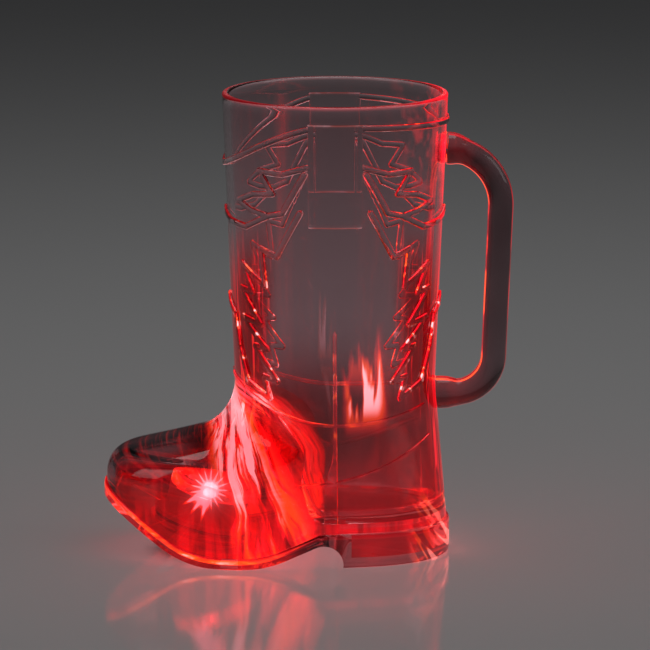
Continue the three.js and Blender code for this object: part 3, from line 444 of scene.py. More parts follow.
class BootForm:
    """The boot's form as level outlines about the shaft's axis.

    An outline is two half superellipses that meet at the axis. Along the boot it reaches a signed power of
    a turn's cosine times the front or back reach, and across it a signed power of the sine times the half
    width there.
    """

    def __init__(self, scene):
        self.sizes = scene.boot_sizes
        self.heel_top = scene.sole_sizes.heel_top
        s = self.sizes
        slope = s.vamp_angle
        self.axis_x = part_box("boot_shell")[0].x + s.toe_reach
        self.instep_x = -s.ankle_radius - s.instep_radius
        self.vamp_x = self.instep_x + s.instep_radius * np.sin(slope)
        self.vamp_z = s.ankle_height - s.instep_radius * np.cos(slope)
        self.toe_x = s.toe_round - s.toe_reach
        rise = (self.toe_x - self.vamp_x) * np.tan(slope)
        self.toe_z = self.vamp_z + rise - s.toe_round / np.cos(slope)
        self.skin_line = self.front_line(0.0, s.cup_height)

    def shaft_radius(self, z):
        """The shaft's radius grows evenly from the ankle to the mouth."""
        s = self.sizes
        return lerp(s.ankle_radius, s.mouth_radius, (z - s.ankle_height) / (s.cup_height - s.ankle_height))

    def back_reach(self, z):
        """The back follows the shaft, and below the ankle leans out evenly to the counter."""
        s = self.sizes
        rise = np.maximum(0.0, (z - self.heel_top) / (s.ankle_height - self.heel_top))
        counter = lerp(s.counter_reach, s.ankle_radius, rise)
        return np.where(z > s.ankle_height, self.shaft_radius(z), counter)

    def half_width(self, x, z):
        """The foot widens from heel to ball, and rises smoothly into the round shaft."""
        s = self.sizes
        foot = lerp(s.heel_half_width, s.ball_half_width, smoothstep(-x, -s.waist_back, -s.waist_front))
        shaft = self.shaft_radius(np.maximum(z, s.ankle_height))
        return lerp(foot, shaft, smoothstep(z, s.foot_side_height, s.ankle_height))

    def front_power(self, z):
        """The toe is squarer than the shaft, and the vamp is more pointed."""
        s = self.sizes
        toe = lerp(s.toe_power, s.vamp_power, smoothstep(z, self.toe_z, self.vamp_z))
        vamp = lerp(s.vamp_power, s.round_power, smoothstep(z, self.vamp_z, s.ankle_height))
        return np.where(z < self.vamp_z, toe, vamp)

    def back_power(self, z):
        """The heel is squarer than the shaft."""
        s = self.sizes
        return lerp(s.counter_power, s.round_power, smoothstep(z, self.heel_top, s.ankle_height))

    def outline(self, z, front, back, inset, turn):
        """Points at a turn about the axis on level outlines, as the class describes."""
        along = np.cos(turn)
        ahead = along < 0.0
        power = 2.0 / np.where(ahead, self.front_power(z), self.back_power(z))
        x = np.where(ahead, front, back) * signed_power(along, power)
        y = (self.half_width(x, z) - inset) * signed_power(np.sin(turn), power)
        return np.stack(np.broadcast_arrays(x + self.axis_x, y, z), axis=-1)

    def rings(self, z, front, back, inset):
        """A grid of whole outlines, one row for each height."""
        columns = (np.reshape(value, (-1, 1)) for value in np.broadcast_arrays(z, front, back, inset))
        return self.outline(*columns, OUTLINE_TURNS)

    def front_line(self, inset, top):
        """The front in side view: toe face, toe arc, sloping vamp, instep arc and straight shaft."""
        s = self.sizes
        toe = arc(self.toe_x, self.toe_z, s.toe_round - inset, np.pi, np.pi / 2.0 + s.vamp_angle)
        instep = arc(self.instep_x, s.ankle_height, s.instep_radius + inset, s.vamp_angle - np.pi / 2.0, 0.0)
        ends = np.array([[inset - s.toe_reach, -PAST], [inset - self.shaft_radius(top), top]])
        return evenly(np.vstack([ends[:1], toe, instep, ends[1:]]), ROW_STEP)

    def grid(self, inset, top):
        """The whole form, set in by a wall or grown by a negative one, up to a height."""
        x, z = self.front_line(inset, top).T
        return self.rings(z, -x, self.back_reach(z) - inset, inset)

    def outer_grid(self):
        """The outside, closed over the lip by a quarter round."""
        s = self.sizes
        below = self.grid(0.0, s.cup_height - s.rim_round)
        turn = EDGE_TURNS[1:]
        z = s.cup_height - s.rim_round * (1.0 - np.sin(turn))
        inset = s.rim_round * (1.0 - np.cos(turn))
        reach = self.shaft_radius(z) - inset
        return np.vstack([below, self.rings(z, reach, reach, inset)])

    def cavity_grid(self, grow):
        """The drinking cavity: a rounded floor in the heel, then the shaft's bore and its rounded lip.

        Between them the front goes back evenly with the depth, which follows the sine of a turn. Close to
        the floor the outline is drawn in by a quarter round.
        """
        s = self.sizes
        turn = np.linspace(np.pi / 2.0, 0.0, 3 * ARC_ROWS)
        z = s.ankle_height - (s.ankle_height - s.cavity_floor) * np.sin(turn)
        front = lerp(s.ankle_radius - s.wall, s.cavity_front, np.sin(turn))
        below = np.maximum(0.0, 1.0 - (z - s.cavity_floor) / s.cavity_round)
        floor_round = s.cavity_round * (1.0 - np.sqrt(1.0 - below * below))
        inset = s.wall - grow + floor_round
        bowl = self.rings(z - grow * np.sin(turn), front + grow, self.back_reach(z) - inset, inset)
        shoulder = s.cup_height - s.rim_round
        bore_z = np.linspace(s.ankle_height, shoulder, 2 * ARC_ROWS)[1:-1]
        z = np.concatenate([bore_z, shoulder + s.rim_round * np.sin(EDGE_TURNS), [s.cup_height + PAST]])
        flare = np.concatenate([0.0 * bore_z, s.rim_round * (1.0 - np.cos(EDGE_TURNS)), [s.rim_round]])
        inset = s.wall - grow - flare
        reach = self.shaft_radius(z) - inset
        return np.vstack([bowl, self.rings(z, reach, reach, inset)])

    def turn_at(self, x, z):
        """The turn at which an outline passes a place along the boot."""
        front = -np.interp(z, self.skin_line[:, 1], self.skin_line[:, 0])
        reach = np.where(x < 0.0, front, self.back_reach(z))
        power = np.where(x < 0.0, self.front_power(z), self.back_power(z))
        return np.arccos(np.sign(x) * np.clip(np.abs(x) / reach, 0.0, 1.0) ** (power / 2.0))

    def at(self, turn, z):
        """A point on the outside at a turn and a height."""
        front = -np.interp(z, self.skin_line[:, 1], self.skin_line[:, 0])
        return self.outline(z, front, self.back_reach(z), 0.0, turn)

    def lifted(self, turn, z, lift):
        """A point on the outside, moved out along the normal, which is the cross product of its slopes."""
        round_slope = self.at(turn + SLOPE_STEP, z) - self.at(turn - SLOPE_STEP, z)
        rise_slope = self.at(turn, z + SLOPE_STEP) - self.at(turn, z - SLOPE_STEP)
        normal = np.cross(round_slope, rise_slope)
        normal /= np.linalg.norm(normal, axis=-1, keepdims=True)
        return self.at(turn, z) + normal * lift[..., None]

    def ridge(self, start, end, width, height, sink):
        """A raised band: a flat superellipse carried along a straight line on the unrolled outside.

        Start and end are each a turn and a height. Both ends taper as a quarter circle does.
        """
        radius = self.shaft_radius(self.sizes.ankle_height)
        run = np.array([(end[0] - start[0]) * radius, end[1] - start[1]])
        span = np.hypot(*run)
        along = run / span
        rows = int(span / RIDGE_STEP) + ARC_ROWS
        way = np.linspace(-width / 2.0, span + width / 2.0, rows)[:, None]
        over = np.maximum(np.maximum(-way, way - span), 0.0) / (width / 2.0)
        taper = np.sqrt(np.maximum(1.0 - over * over, BAND_TIP))
        across = width / 2.0 * taper * signed_power(np.cos(RIDGE_TURNS), BAND_POWER)
        lift = taper * ((height + sink) * signed_power(np.sin(RIDGE_TURNS), BAND_POWER) - sink)
        turn = start[0] + (way * along[0] - across * along[1]) / radius
        z = start[1] + way * along[1] + across * along[0]
        return self.lifted(turn, z, lift)

    def plate(self, turn, low, high, width, height):
        """A raised flat strap: a rounded rectangle carried up the outside."""
        radius = self.shaft_radius(high)
        z = np.linspace(low, high, STRAP_ROWS)[:, None]
        across = width / 2.0 * signed_power(np.cos(STRAP_TURNS), STRAP_SIDE_POWER)
        lift = height * signed_power(np.sin(STRAP_TURNS), STRAP_FACE_POWER)
        turns, z = np.broadcast_arrays(turn + across / radius, z)
        return self.lifted(turns, z, np.broadcast_to(lift, z.shape))


class SoleForm:
    """The sole's side-view lines, and the foot's plan carried along them."""

    def __init__(self, scene, boot):
        self.sizes = scene.sole_sizes
        self.boot = boot

    def line(self, lift):
        """The sole's line lifted off its lower face: toe spring, ball, shank and level heel seat."""
        s = self.sizes
        down = -np.pi / 2.0
        toe = arc(s.ball_front, s.spring_radius, s.spring_radius - lift, down - s.spring_angle, down)
        shank = arc(s.ball_back, s.shank_radius, s.shank_radius - lift, down, down + s.shank_angle)
        reach = self.boot.sizes.toe_reach
        start = toe[0] + reach * np.array([-np.cos(s.spring_angle), np.sin(s.spring_angle)])
        heel_z = s.heel_top + lift - s.thickness
        heel_x = shank[-1, 0] + (heel_z - shank[-1, 1]) / np.tan(s.shank_angle)
        end = [self.boot.sizes.counter_reach + PAST, heel_z]
        return np.vstack([start, toe, shank, [heel_x, heel_z], end])

    def underside(self):
        """The lower face from the shank on: the fillet, the heel's breast and its flat."""
        s = self.sizes
        shank_end = self.line(0.0)[-3]
        slope = np.tan(s.shank_angle)
        x = s.heel_breast - s.breast_fillet
        z = shank_end[1] + (x - shank_end[0]) * slope - s.breast_fillet / np.cos(s.shank_angle)
        fillet = arc(x, z, s.breast_fillet, np.pi / 2.0 + s.shank_angle, 0.0)
        flat = [[s.heel_breast, 0.0], [self.boot.sizes.counter_reach + PAST, 0.0]]
        return np.vstack([self.line(0.0)[:-2], fillet, flat])

    def above(self, lift):
        """Everything over a lifted line, in side view."""
        line = self.line(lift)
        top = self.boot.sizes.cup_height + PAST
        return np.vstack([line, [line[-1, 0], top], [line[0, 0], top]])

    def plans(self, inset):
        """The foot's plan at the ground, one row for each inset."""
        s = self.boot.sizes
        return self.boot.rings(0.0, s.toe_reach - inset, s.counter_reach - inset, inset)

    def column(self, inset, low, high, rounding=0.0):
        """The foot's plan carried straight up, with its lower edge rounded."""
        turn = EDGE_TURNS if rounding else EDGE_TURNS[:1]
        grid = self.plans(inset + np.append(rounding * (1.0 - np.sin(turn)), 0.0))
        grid[..., 2] = np.append(low + rounding * (1.0 - np.cos(turn)), high)[:, None]
        return grid

    def sole_plate(self):
        """The sole: the plan drawn in to its middle below and above, round a welt edge that is rounded.

        Heights are a share of the way between the sole's lower and upper lines. Also gives how far each
        point lies on the welt's edge.
        """
        s = self.sizes
        shares = np.linspace(SOLE_CORE, 1.0, SOLE_ROWS)
        flat = 0.0 * shares
        turn = np.linspace(-np.pi / 2.0, np.pi / 2.0, ARC_ROWS)
        share = np.concatenate([shares, np.ones(ARC_ROWS), shares[::-1]])
        edge = np.concatenate([flat, np.cos(turn), flat])
        rise = np.concatenate([flat, 0.5 + 0.5 * signed_power(np.sin(turn), WELT_POWER), flat + 1.0])[:, None]
        middle = self.boot.axis_x + (s.ball_front + s.heel_breast) / 2.0
        plans = self.plans(s.edge_round * (1.0 - np.sqrt(edge)) - s.welt)
        x = lerp(middle, plans[..., 0], share[:, None])
        y = plans[..., 1] * share[:, None]
        low, high = (np.interp(x - self.boot.axis_x, *self.line(lift).T) for lift in (0.0, s.thickness))
        grid = np.stack([x, y, lerp(low, high, rise)], axis=-1)
        return grid, np.broadcast_to(edge[:, None], x.shape)


def mesh_solid(name, points, faces, material):
    """A closed mesh object whose faces point out, which the sign of its volume shows."""
    mesh = bpy.data.meshes.new(name)
    mesh.from_pydata(points.tolist(), [], faces)
    mesh.materials.append(material)
    mesh.calc_loop_triangles()
    corners = np.empty(len(mesh.loop_triangles) * 3, dtype=np.int32)
    mesh.loop_triangles.foreach_get("vertices", corners)
    a, b, c = points[corners.reshape(-1, 3)].transpose(1, 0, 2)
    if np.sum(a * np.cross(b, c)) < 0.0:
        mesh.flip_normals()
    piece = bpy.data.objects.new(name, mesh)
    bpy.context.scene.collection.objects.link(piece)
    return piece


def grid_solid(name, grid, material, poles=None):
    """A closed skin over a grid: quads between neighbours, wrapped round each row, and a fan at each end."""
    rows, columns, _ = grid.shape
    index = np.arange(rows * columns).reshape(rows, columns)
    beside = np.roll(index, -1, axis=1)
    quads = np.stack([index[:-1], beside[:-1], beside[1:], index[1:]], axis=-1).reshape(-1, 4)
    hubs = np.full((2, columns), rows * columns) + np.array([[0], [1]])
    first = np.stack([beside[0], index[0], hubs[0]], axis=-1)
    last = np.stack([index[-1], beside[-1], hubs[1]], axis=-1)
    ends = grid[[0, -1]].mean(axis=1) if poles is None else poles
    points = np.vstack([grid.reshape(-1, 3), ends])
    return mesh_solid(name, points, quads.tolist() + first.tolist() + last.tolist(), material)


def paint(piece, name, values):
    """Keeps a value for each point of a grid, or a row repeated over it, and 0 at its two end points."""
    attribute = piece.data.attributes.new(name, "FLOAT", "POINT")
    count = len(piece.data.vertices) - 2
    attribute.data.foreach_set("value", np.concatenate([np.resize(values, count), [0.0, 0.0]]))


def prism(name, outline, half_width, material, shift=0.0):
    """A side-view outline carried straight across the boot's width."""
    count = len(outline)
    x, z = outline.T
    near = np.stack([x + shift, np.full(count, -half_width), z], axis=-1)
    points = np.vstack([near, near * [1.0, -1.0, 1.0]])
    index = np.arange(count)
    beside = np.roll(index, -1)
    sides = np.stack([index, beside, beside + count, index + count], axis=-1)
    faces = sides.tolist() + [index[::-1].tolist(), (index + count).tolist()]
    return mesh_solid(name, points, faces, material)


def revolve(name, profile, material, place, turns=REVOLVE_TURNS):
    """A profile of radius and height carried round its axis and put in its place by a matrix."""
    radius, height = (np.reshape(column, (-1, 1)) for column in np.transpose(profile))
    local = np.stack(np.broadcast_arrays(radius * np.cos(turns), radius * np.sin(turns), height), axis=-1)
    matrix = np.array(place)
    return grid_solid(name, local @ matrix[:3, :3].T + matrix[:3, 3], material)


def combine(piece, operation, tools):
    """Joins or cuts a closed piece with closed tools, whose faces keep their own finish."""
    group = bpy.data.collections.new(operation)
    for tool in tools:
        group.objects.link(tool)
    modifier = piece.modifiers.new(operation, "BOOLEAN")
    modifier.solver = "MANIFOLD"
    modifier.operation = operation
    modifier.operand_type = "COLLECTION"
    modifier.collection = group
    modifier.material_mode = "TRANSFER"
    made = bpy.data.meshes.new_from_object(piece.evaluated_get(bpy.context.evaluated_depsgraph_get()))
    if not made.polygons:
        raise RuntimeError(f"{operation} left nothing of {piece.name}")
    piece.modifiers.clear()
    spent = [piece.data, *(tool.data for tool in tools)]
    piece.data = made
    for tool in tools:
        bpy.data.objects.remove(tool)
    for mesh in spent:
        bpy.data.meshes.remove(mesh)
    bpy.data.collections.remove(group)
    return piece


def settle(piece, body, slot, *nodes):
    """Smooths a finished piece up to its sharp edges, and puts it on its body in its nodes' place."""
    piece.data.name = piece.name
    piece.data.shade_smooth()
    piece.data.set_sharp_from_angle(angle=SHARP_ANGLE)
    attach(piece, body)
    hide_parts(*nodes)


def box_middle(node):
    """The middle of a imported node's box."""
    low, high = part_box(node)
    return (low + high) / 2.0


def capsule_place(sizes):
    """The capsule's own frame: up the button's axis, with the circuit board's middle at its height."""
    up = Vector(frame["joints"][0]["axis"]).normalized()
    across = Vector((0.0, 1.0, 0.0))
    turn = Matrix((across.cross(up), across, up)).transposed().to_4x4()
    return Matrix.Translation(box_middle("circuit_board") - up * sizes.board_height) @ turn


class Wire:
    """A socket in a shader tree. Arithmetic on it adds Math nodes, and node() adds any other."""

    def __init__(self, tree, socket=None):
        self.tree = tree
        self.socket = socket

    def node(self, kind, settings, sockets, out=0):
        """A node of a kind with its settings made first, then its sockets' values or links."""
        node = self.tree.nodes.new(kind)
        for key, value in settings.items():
            setattr(node, key, value)
        for key, value in sockets.items():
            if isinstance(value, Wire):
                self.tree.links.new(value.socket, node.inputs[key])
            else:
                node.inputs[key].default_value = value
        return Wire(self.tree, node.outputs[out] if node.outputs else None)

    def math(self, operation, *others):
        """What a Math node makes of this value and others."""
        return self.node("ShaderNodeMath", {"operation": operation}, dict(enumerate((self, *others))))

    def reflected(self, operation, other):
        """What a Math node makes of another value and this one."""
        return self.node("ShaderNodeMath", {"operation": operation}, {0: other, 1: self})

    def __add__(self, other):
        return self.math("ADD", other)

    def __sub__(self, other):
        return self.math("SUBTRACT", other)

    def __mul__(self, other):
        return self.math("MULTIPLY", other)

    def __truediv__(self, other):
        return self.math("DIVIDE", other)

    def __pow__(self, other):
        return self.math("POWER", other)

    def __radd__(self, other):
        return self.reflected("ADD", other)

    def __rsub__(self, other):
        return self.reflected("SUBTRACT", other)

    def __rmul__(self, other):
        return self.reflected("MULTIPLY", other)

    def __rtruediv__(self, other):
        return self.reflected("DIVIDE", other)

    def __abs__(self):
        return self.math("ABSOLUTE")

    def most(self, other):
        """The larger of two values."""
        return self.math("MAXIMUM", other)

    def between(self, low, high):
        """The number a share of the way from low to high."""
        return low + self * (high - low)

    def step(self, low, high):
        """A smooth rise from 0 at low to 1 at high, or a fall where low is the larger."""
        ends = {"From Min": min(low, high), "From Max": max(low, high)}
        rise = self.node("ShaderNodeMapRange", {"interpolation_type": "SMOOTHSTEP"}, {"Value": self, **ends})
        return rise if low < high else 1.0 - rise

    def split(self):
        """The three numbers of a vector."""
        node = self.node("ShaderNodeSeparateXYZ", {}, {0: self}).socket.node
        return [Wire(self.tree, output) for output in node.outputs]

    def joined(self, *numbers):
        """A vector of up to three numbers, with 0 for the rest."""
        return self.node("ShaderNodeCombineXYZ", {}, dict(enumerate(numbers)))

    def scaled(self, *factors):
        """A vector with each of its numbers multiplied."""
        return self.node("ShaderNodeVectorMath", {"operation": "MULTIPLY"}, {0: self, 1: factors})

    def noise(self, scale, detail=2.0, distortion=0.0):
        """A soft random value from 0 to 1 at a vector."""
        return self.node("ShaderNodeTexNoise", {}, {
            "Vector": self, "Scale": scale, "Detail": detail, "Distortion": distortion})

    def painted(self, name):
        """The value that the piece keeps at each point under a name."""
        return self.node("ShaderNodeAttribute", {"attribute_name": name}, {}, "Fac")

    def tint(self, low, high):
        """The colour a share of the way from low to high."""
        low, high = (value if isinstance(value, Wire) else (*value, 1.0) for value in (low, high))
        return self.node("ShaderNodeMix", {"data_type": "RGBA"}, {0: self, 6: low, 7: high}, 2)

    def bump(self, strength, distance):
        """A normal bent by a height."""
        return self.node("ShaderNodeBump", {}, {"Height": self, "Strength": strength, "Distance": distance})


def new_material(name):
    """An empty material and its object coordinates."""
    material = bpy.data.materials.new(name)
    material.use_nodes = True
    material.node_tree.nodes.clear()
    return material, Wire(material.node_tree).node("ShaderNodeTexCoord", {}, {}, "Object")


def finish_material(material, place, sockets, see_through=False):
    """Puts a principled surface on a material. A clear one lets lamp light pass straight through it."""
    surface = place.node("ShaderNodeBsdfPrincipled", {}, sockets)
    if see_through:
        lamp = place.node("ShaderNodeLightPath", {}, {}, "Is Shadow Ray")
        clear = place.node("ShaderNodeBsdfTransparent", {}, {})
        surface = place.node("ShaderNodeMixShader", {}, {0: lamp, 1: surface, 2: clear})
    place.node("ShaderNodeOutputMaterial", {}, {"Surface": surface})
    return material


def clear_plastic(material, place, look, tint, light, heat):
    """Clear polished plastic with a tint, faint flow ripples, fine handling marks and a glow.

    The glow is black where light is 0. As heat goes from 0 to 1, it goes from red through ember to flare.
    """
    ripple = place.noise(45.0, 1.0, 0.3)
    marks = place.noise(900.0, 3.0)
    warm = heat.step(0.0, 0.5).tint(look.red, look.ember)
    return finish_material(material, place, {
        "Base Color": tint,
        "Roughness": marks.step(0.55, 0.8).between(0.012, 0.052),
        "IOR": look.bend,
        "Transmission Weight": 1.0,
        "Emission Color": light.tint(DARK, heat.step(0.5, 1.0).tint(warm, look.flare)),
        "Emission Strength": look.strength,
        "Normal": ripple.bump(0.06, RIPPLE_DEPTH),
    }, see_through=True)


class BOOTCUP_OT_shell(bpy.types.Operator):
    """Builds the clear boot with its relief, its drinking cavity and the dry room for the light"""

    bl_idname = "bootcup.shell"
    bl_label = "Clear Boot"

    def execute(self, context):
        scene = context.scene
        boot = BootForm(scene)
        sole = SoleForm(scene, boot)
        look = scene.glow_look
        wall = shell_plastic(look, boot)
        stitch = seam_plastic(look, boot)
        lit = bead_plastic(look, boot)
        room = room_plastic(look, boot)
        bowl = bowl_plastic(look, boot)
        piece = grid_solid("clear_boot", boot.outer_grid(), wall)
        bands = []
        for grid in bead_grids(scene, boot):
            bands.append(grid_solid("band", grid, lit))
            paint(bands[-1], "flank", upper_share(grid))
        seams = [grid_solid("seam", grid, stitch) for grid in seam_grids(scene, boot)]
        hemmed = strap_plastic(look)
        straps = [grid_solid("strap", grid, hemmed) for grid in strap_grids(scene, boot)]
        for strap in straps:
            paint(strap, "hem", hem_share())
        combine(piece, "UNION", bands + seams + straps)
        lift = scene.sole_sizes.thickness + scene.sole_sizes.gap
        reach = 2.0 * scene.boot_sizes.mouth_radius
        combine(piece, "INTERSECT", [prism("above_sole", sole.above(lift), reach, wall, boot.axis_x)])
        thick = scene.boot_sizes.wall
        chamber_top = scene.boot_sizes.ankle_height - scene.boot_sizes.chamber_drop
        dry = grid_solid("dry_room", boot.grid(thick, chamber_top), room)
        combine(dry, "DIFFERENCE", [grid_solid("bowl", boot.cavity_grid(thick), bowl)])
        cavity = grid_solid("cavity", boot.cavity_grid(0.0), cavity_plastic(look, boot))
        combine(piece, "DIFFERENCE", [cavity, dry])
        settle(piece, "cup", "clear_shell", "boot_shell")
        return {"FINISHED"}


def arched_line(start, end, level, height, rise):
    """A line along the boot whose height goes with the square of the way from a level place."""
    x = np.linspace(start, end, ARCH_POINTS)
    reach = max(level - start, end - level)
    return np.stack([x, height + rise * ((x - level) / reach) ** 2], axis=-1)


def strokes(boot, line, width, height, sink):
    """One band on each side of the boot for each straight stroke of a side-view line."""
    x, z = line.T
    turn = boot.turn_at(x, z)
    for sign in (1.0, -1.0):
        places = np.stack([sign * turn, z], axis=-1)
        for start, end in zip(places[:-1], places[1:]):
            yield boot.ridge(start, end, width, height, sink)


def bead_grids(scene, boot):
    """The bands of the collar and the flames."""
    r = scene.relief_sizes
    s = scene.boot_sizes
    top = s.cup_height - r.strap_drop
    half = r.strap_width / 2.0
    front = arched_line(-s.mouth_radius, -half, r.collar_crest, top, -r.collar_front_dip)
    back = np.array([[half, top - r.bead_width / 2.0], [s.mouth_radius, top - r.collar_back_dip]])
    lines = [front, back]
    for flame in (UPPER_FLAME, INNER_FLAME, LOWER_FLAME):
        line = np.array(flame) * [1.0, -1.0] + [0.0, s.cup_height]
        lines += [line, line * [-1.0, 1.0]]
    for line in lines:
        yield from strokes(boot, line, r.bead_width, r.height, r.sink)


def seam_grids(scene, boot):
    """The side seam, and the seams of the vamp and the counter."""
    r = scene.relief_sizes
    front = -scene.boot_sizes.ankle_radius
    lines = [
        np.array([[0.0, r.side_seam_top], [0.0, scene.sole_sizes.heel_top]]),
        arched_line(front, 0.0, 0.0, r.vamp_seam_height, r.vamp_front_rise),
        arched_line(0.0, r.vamp_seam_back, 0.0, r.vamp_seam_height, r.vamp_back_rise),
        arched_line(r.counter_seam_front, r.counter_seam_back, r.counter_seam_front,
                    r.counter_seam_height, r.counter_seam_rise),
    ]
    for line in lines:
        yield from strokes(boot, line, r.seam_width, r.seam_height, r.sink)


def strap_grids(scene, boot):
    """The pull strap on each side."""
    r = scene.relief_sizes
    top = scene.boot_sizes.cup_height - r.strap_drop
    for turn in (np.pi / 2.0, -np.pi / 2.0):
        yield boot.plate(turn, top - r.strap_length, top, r.strap_width, r.height)


def upper_share(grid):
    """From 1 at a band's upper edge to -1 at its lower one: a turn's cosine, with the sign of the rise."""
    middle = len(RIDGE_TURNS) // 2
    return np.sign(grid[:, :1, 2] - grid[:, middle:middle + 1, 2]) * np.cos(RIDGE_TURNS)


def hem_share():
    """1 at a strap's two ends and its two sides, and 0 on its face."""
    way = np.linspace(-1.0, 1.0, STRAP_ROWS)[:, None]
    ends = smoothstep(np.abs(way), *HEM_ENDS)
    return np.maximum(ends, smoothstep(np.abs(np.cos(STRAP_TURNS)), *HEM_SIDES))


def nearness(place, spot, reach):
    """1 at a spot, falling off with the square of the distance over a reach."""
    away = place.node("ShaderNodeVectorMath", {"operation": "DISTANCE"}, {0: place, 1: spot}, "Value")
    return 1.0 / (1.0 + (away / reach) ** 2.0)


def boot_place(place, boot):
    """How far a place is along the boot from the shaft's axis, across it, and up."""
    x, y, z = place.split()
    return x - boot.axis_x, y, z


def curtain(place, boot):
    """Streaks of light that fan out below the instep, and how hot they are.

    They are noise over the angle about the instep in side view, bent a little, and rarer further down. Finer
    threads of the same kind break up all but the strongest.
    """
    along, across, height = boot_place(place, boot)
    ahead = along + (boot.sizes.ankle_radius + FAN_AHEAD)
    down = (boot.sizes.ankle_height + FAN_ABOVE) - height
    lean = along + height * FAN_LEAN
    turn = down.math("ARCTAN2", ahead)
    bent = turn + (place.noise(34.0, 2.0) - 0.5) * 0.26
    share = place.joined(bent * 9.5, across * 30.0, down * 26.0).noise(1.0, 6.0, 0.25) - down * 1.3
    threads = place.joined(bent * 42.0, across * 60.0, down * 16.0).noise(1.0, 3.0).step(0.40, 0.54)
    fine = threads.between(0.30, 1.0).most(share.step(0.47, 0.51))
    window = turn.step(*FAN_BACK) * lean.step(*FAN_FRONT) * lean.step(*FAN_REAR) * down.step(*FAN_TOP)
    glow = window * fine
    pale = turn.step(*FAN_PALE).between(0.35, 1.0) * down.step(*FAN_FALL)
    return glow * share.step(0.375, 0.410), glow * share.step(0.40, 0.46) * pale


def wisps(place, boot):
    """Tongues of light caught in the bowl behind the side seam, most of them on its near side.

    They are upright noise that is rarer further up.
    """
    along, across, height = boot_place(place, boot)
    window = along.step(*WISP_FRONT) * along.step(*WISP_BACK) * height.step(*WISP_BASE)
    near = across.step(*WISP_NEAR).between(0.3, 1.0)
    tongue = place.scaled(190.0, 40.0, 20.0).noise(1.0, 3.0, 0.5) - (height - WISP_BASE[1]) * 9.0
    return window * near * tongue.step(0.42, 0.54)


def wall_streaks(place, boot):
    """Where the front and back walls carry light up the shaft, and its streaks: noise drawn out upright."""
    along, _, height = boot_place(place, boot)
    foot = height.step(*WALL_FOOT).most(height.step(*BACK_FOOT) * along.step(*BACK_ENDS))
    window = abs(along).step(*WALL_ENDS) * height.step(*WALL_TOP) * foot
    return window, window * place.scaled(1.0, 1.0, 0.04).noise(380.0, 2.0, 0.3).step(0.60, 0.66)


def back_depth(along, height, boot):
    """How far a place lies ahead of the boot's back, whose reach grows evenly above and below the ankle."""
    s = boot.sizes
    shaft = (s.mouth_radius - s.ankle_radius) / (s.cup_height - s.ankle_height)
    counter = (s.counter_reach - s.ankle_radius) / (s.ankle_height - boot.heel_top)
    above = height - s.ankle_height
    return s.ankle_radius + (above * shaft).most(above * -counter) - along


def slices(place, boot):
    """Slanted slices of light, as a thick corner splits them: noise over a leaning line."""
    along, across, height = boot_place(place, boot)
    lean = place.joined((along + height * 0.6) * 300.0, across * 60.0, height * 40.0)
    return lean.noise(1.0, 1.0).step(0.53, 0.57)


def shell_tint_with_painted_light_and_shade(place, look, boot):
    """Smoky on the shaft and the toe's top, with the light's red painted into the foot, and painted shade in
    darker streaks and over the lit walls.
    """
    along, _, height = boot_place(place, boot)
    # Painted light: the light's red is painted into the foot below a ragged height, fullest towards the toe
    # but fading at the toe's top.
    low = (height + (place.noise(30.0, 2.0) - 0.5) * 0.012).step(*PAINTED_RED_HEIGHTS)
    toe_top = along.step(*TOE_TOP) * height.step(*TOE_ABOVE)
    foot = low * along.step(*PAINTED_RED_TOE).between(0.72, 1.0) * toe_top.between(1.0, 0.2)
    walls, _ = wall_streaks(place, boot)
    # Painted shade: darker red in hanging streaks and over the walls that carry the light.
    hang = place.scaled(1.0, 1.0, 0.12).noise(170.0, 3.0, 0.4).step(0.45, 0.75)
    painted_red_and_shade = hang.most(walls).tint(look.painted_light_red, look.painted_shade_red)
    return foot.most(walls).tint(look.smoke, painted_red_and_shade)


def wall_plastic(material, place, look, boot, light, heat):
    """Clear plastic in the shell's tint, with the light's red and the shade painted into it."""
    return clear_plastic(material, place, look, shell_tint_with_painted_light_and_shade(place, look, boot), light, heat)


def shell_plastic(look, boot):
    """The outside: light in the instep, up the front and back, at the rim, and split in the heel's corner."""
    material, place = new_material("shell_plastic")
    along, _, height = boot_place(place, boot)
    top = boot.sizes.cup_height
    back = along.step(*RIM_BACK)
    rim = height.step(top - RIM_GLOW, top) * back.between(0.10, 0.32)
    spark = place.noise(140.0, 4.0).step(0.46, 0.70)
    seat = back * height.step(*SEAT_HEIGHTS) * spark
    walls, streaks = wall_streaks(place, boot)
    curtains, heat = curtain(place, boot)
    facets = along.step(*HEEL_CORNER) * height.step(*HEEL_HEIGHTS) * slices(place, boot)
    # Painted light along the back edge, broken into upright streaks by this noise.
    grain = place.scaled(1.0, 1.0, 0.10).noise(150.0, 3.0).step(0.42, 0.66)
    edge = back_depth(along, height, boot).step(*BACK_EDGE) * height.step(*BACK_LOW)
    veil = along.step(*HEEL_UNDER) * height.step(*HEEL_VEIL)
    carried = walls * 0.030 + streaks * 0.35 + edge * grain.between(0.10, 0.55)
    light = rim + carried + seat * 0.2 + veil * 0.03 + curtains * 0.21 + facets * 0.18
    return wall_plastic(material, place, look, boot, light, heat + streaks * spark * 0.4 + facets * 0.65)


def seam_plastic(look, boot):
    """The seams, which let out some of the light that the foot's walls carry."""
    material, place = new_material("seam_plastic")
    along, _, height = boot_place(place, boot)
    spark = place.noise(240.0, 3.0).step(0.42, 0.66)
    middle = abs(along).step(*SEAM_SPREAD) * height.step(*SEAM_BASE)
    light = height.step(*SEAM_HEIGHTS) * (spark.between(0.020, 0.080) + middle * spark.between(0.03, 0.21))
    return wall_plastic(material, place, look, boot, light, middle * spark * 0.7)


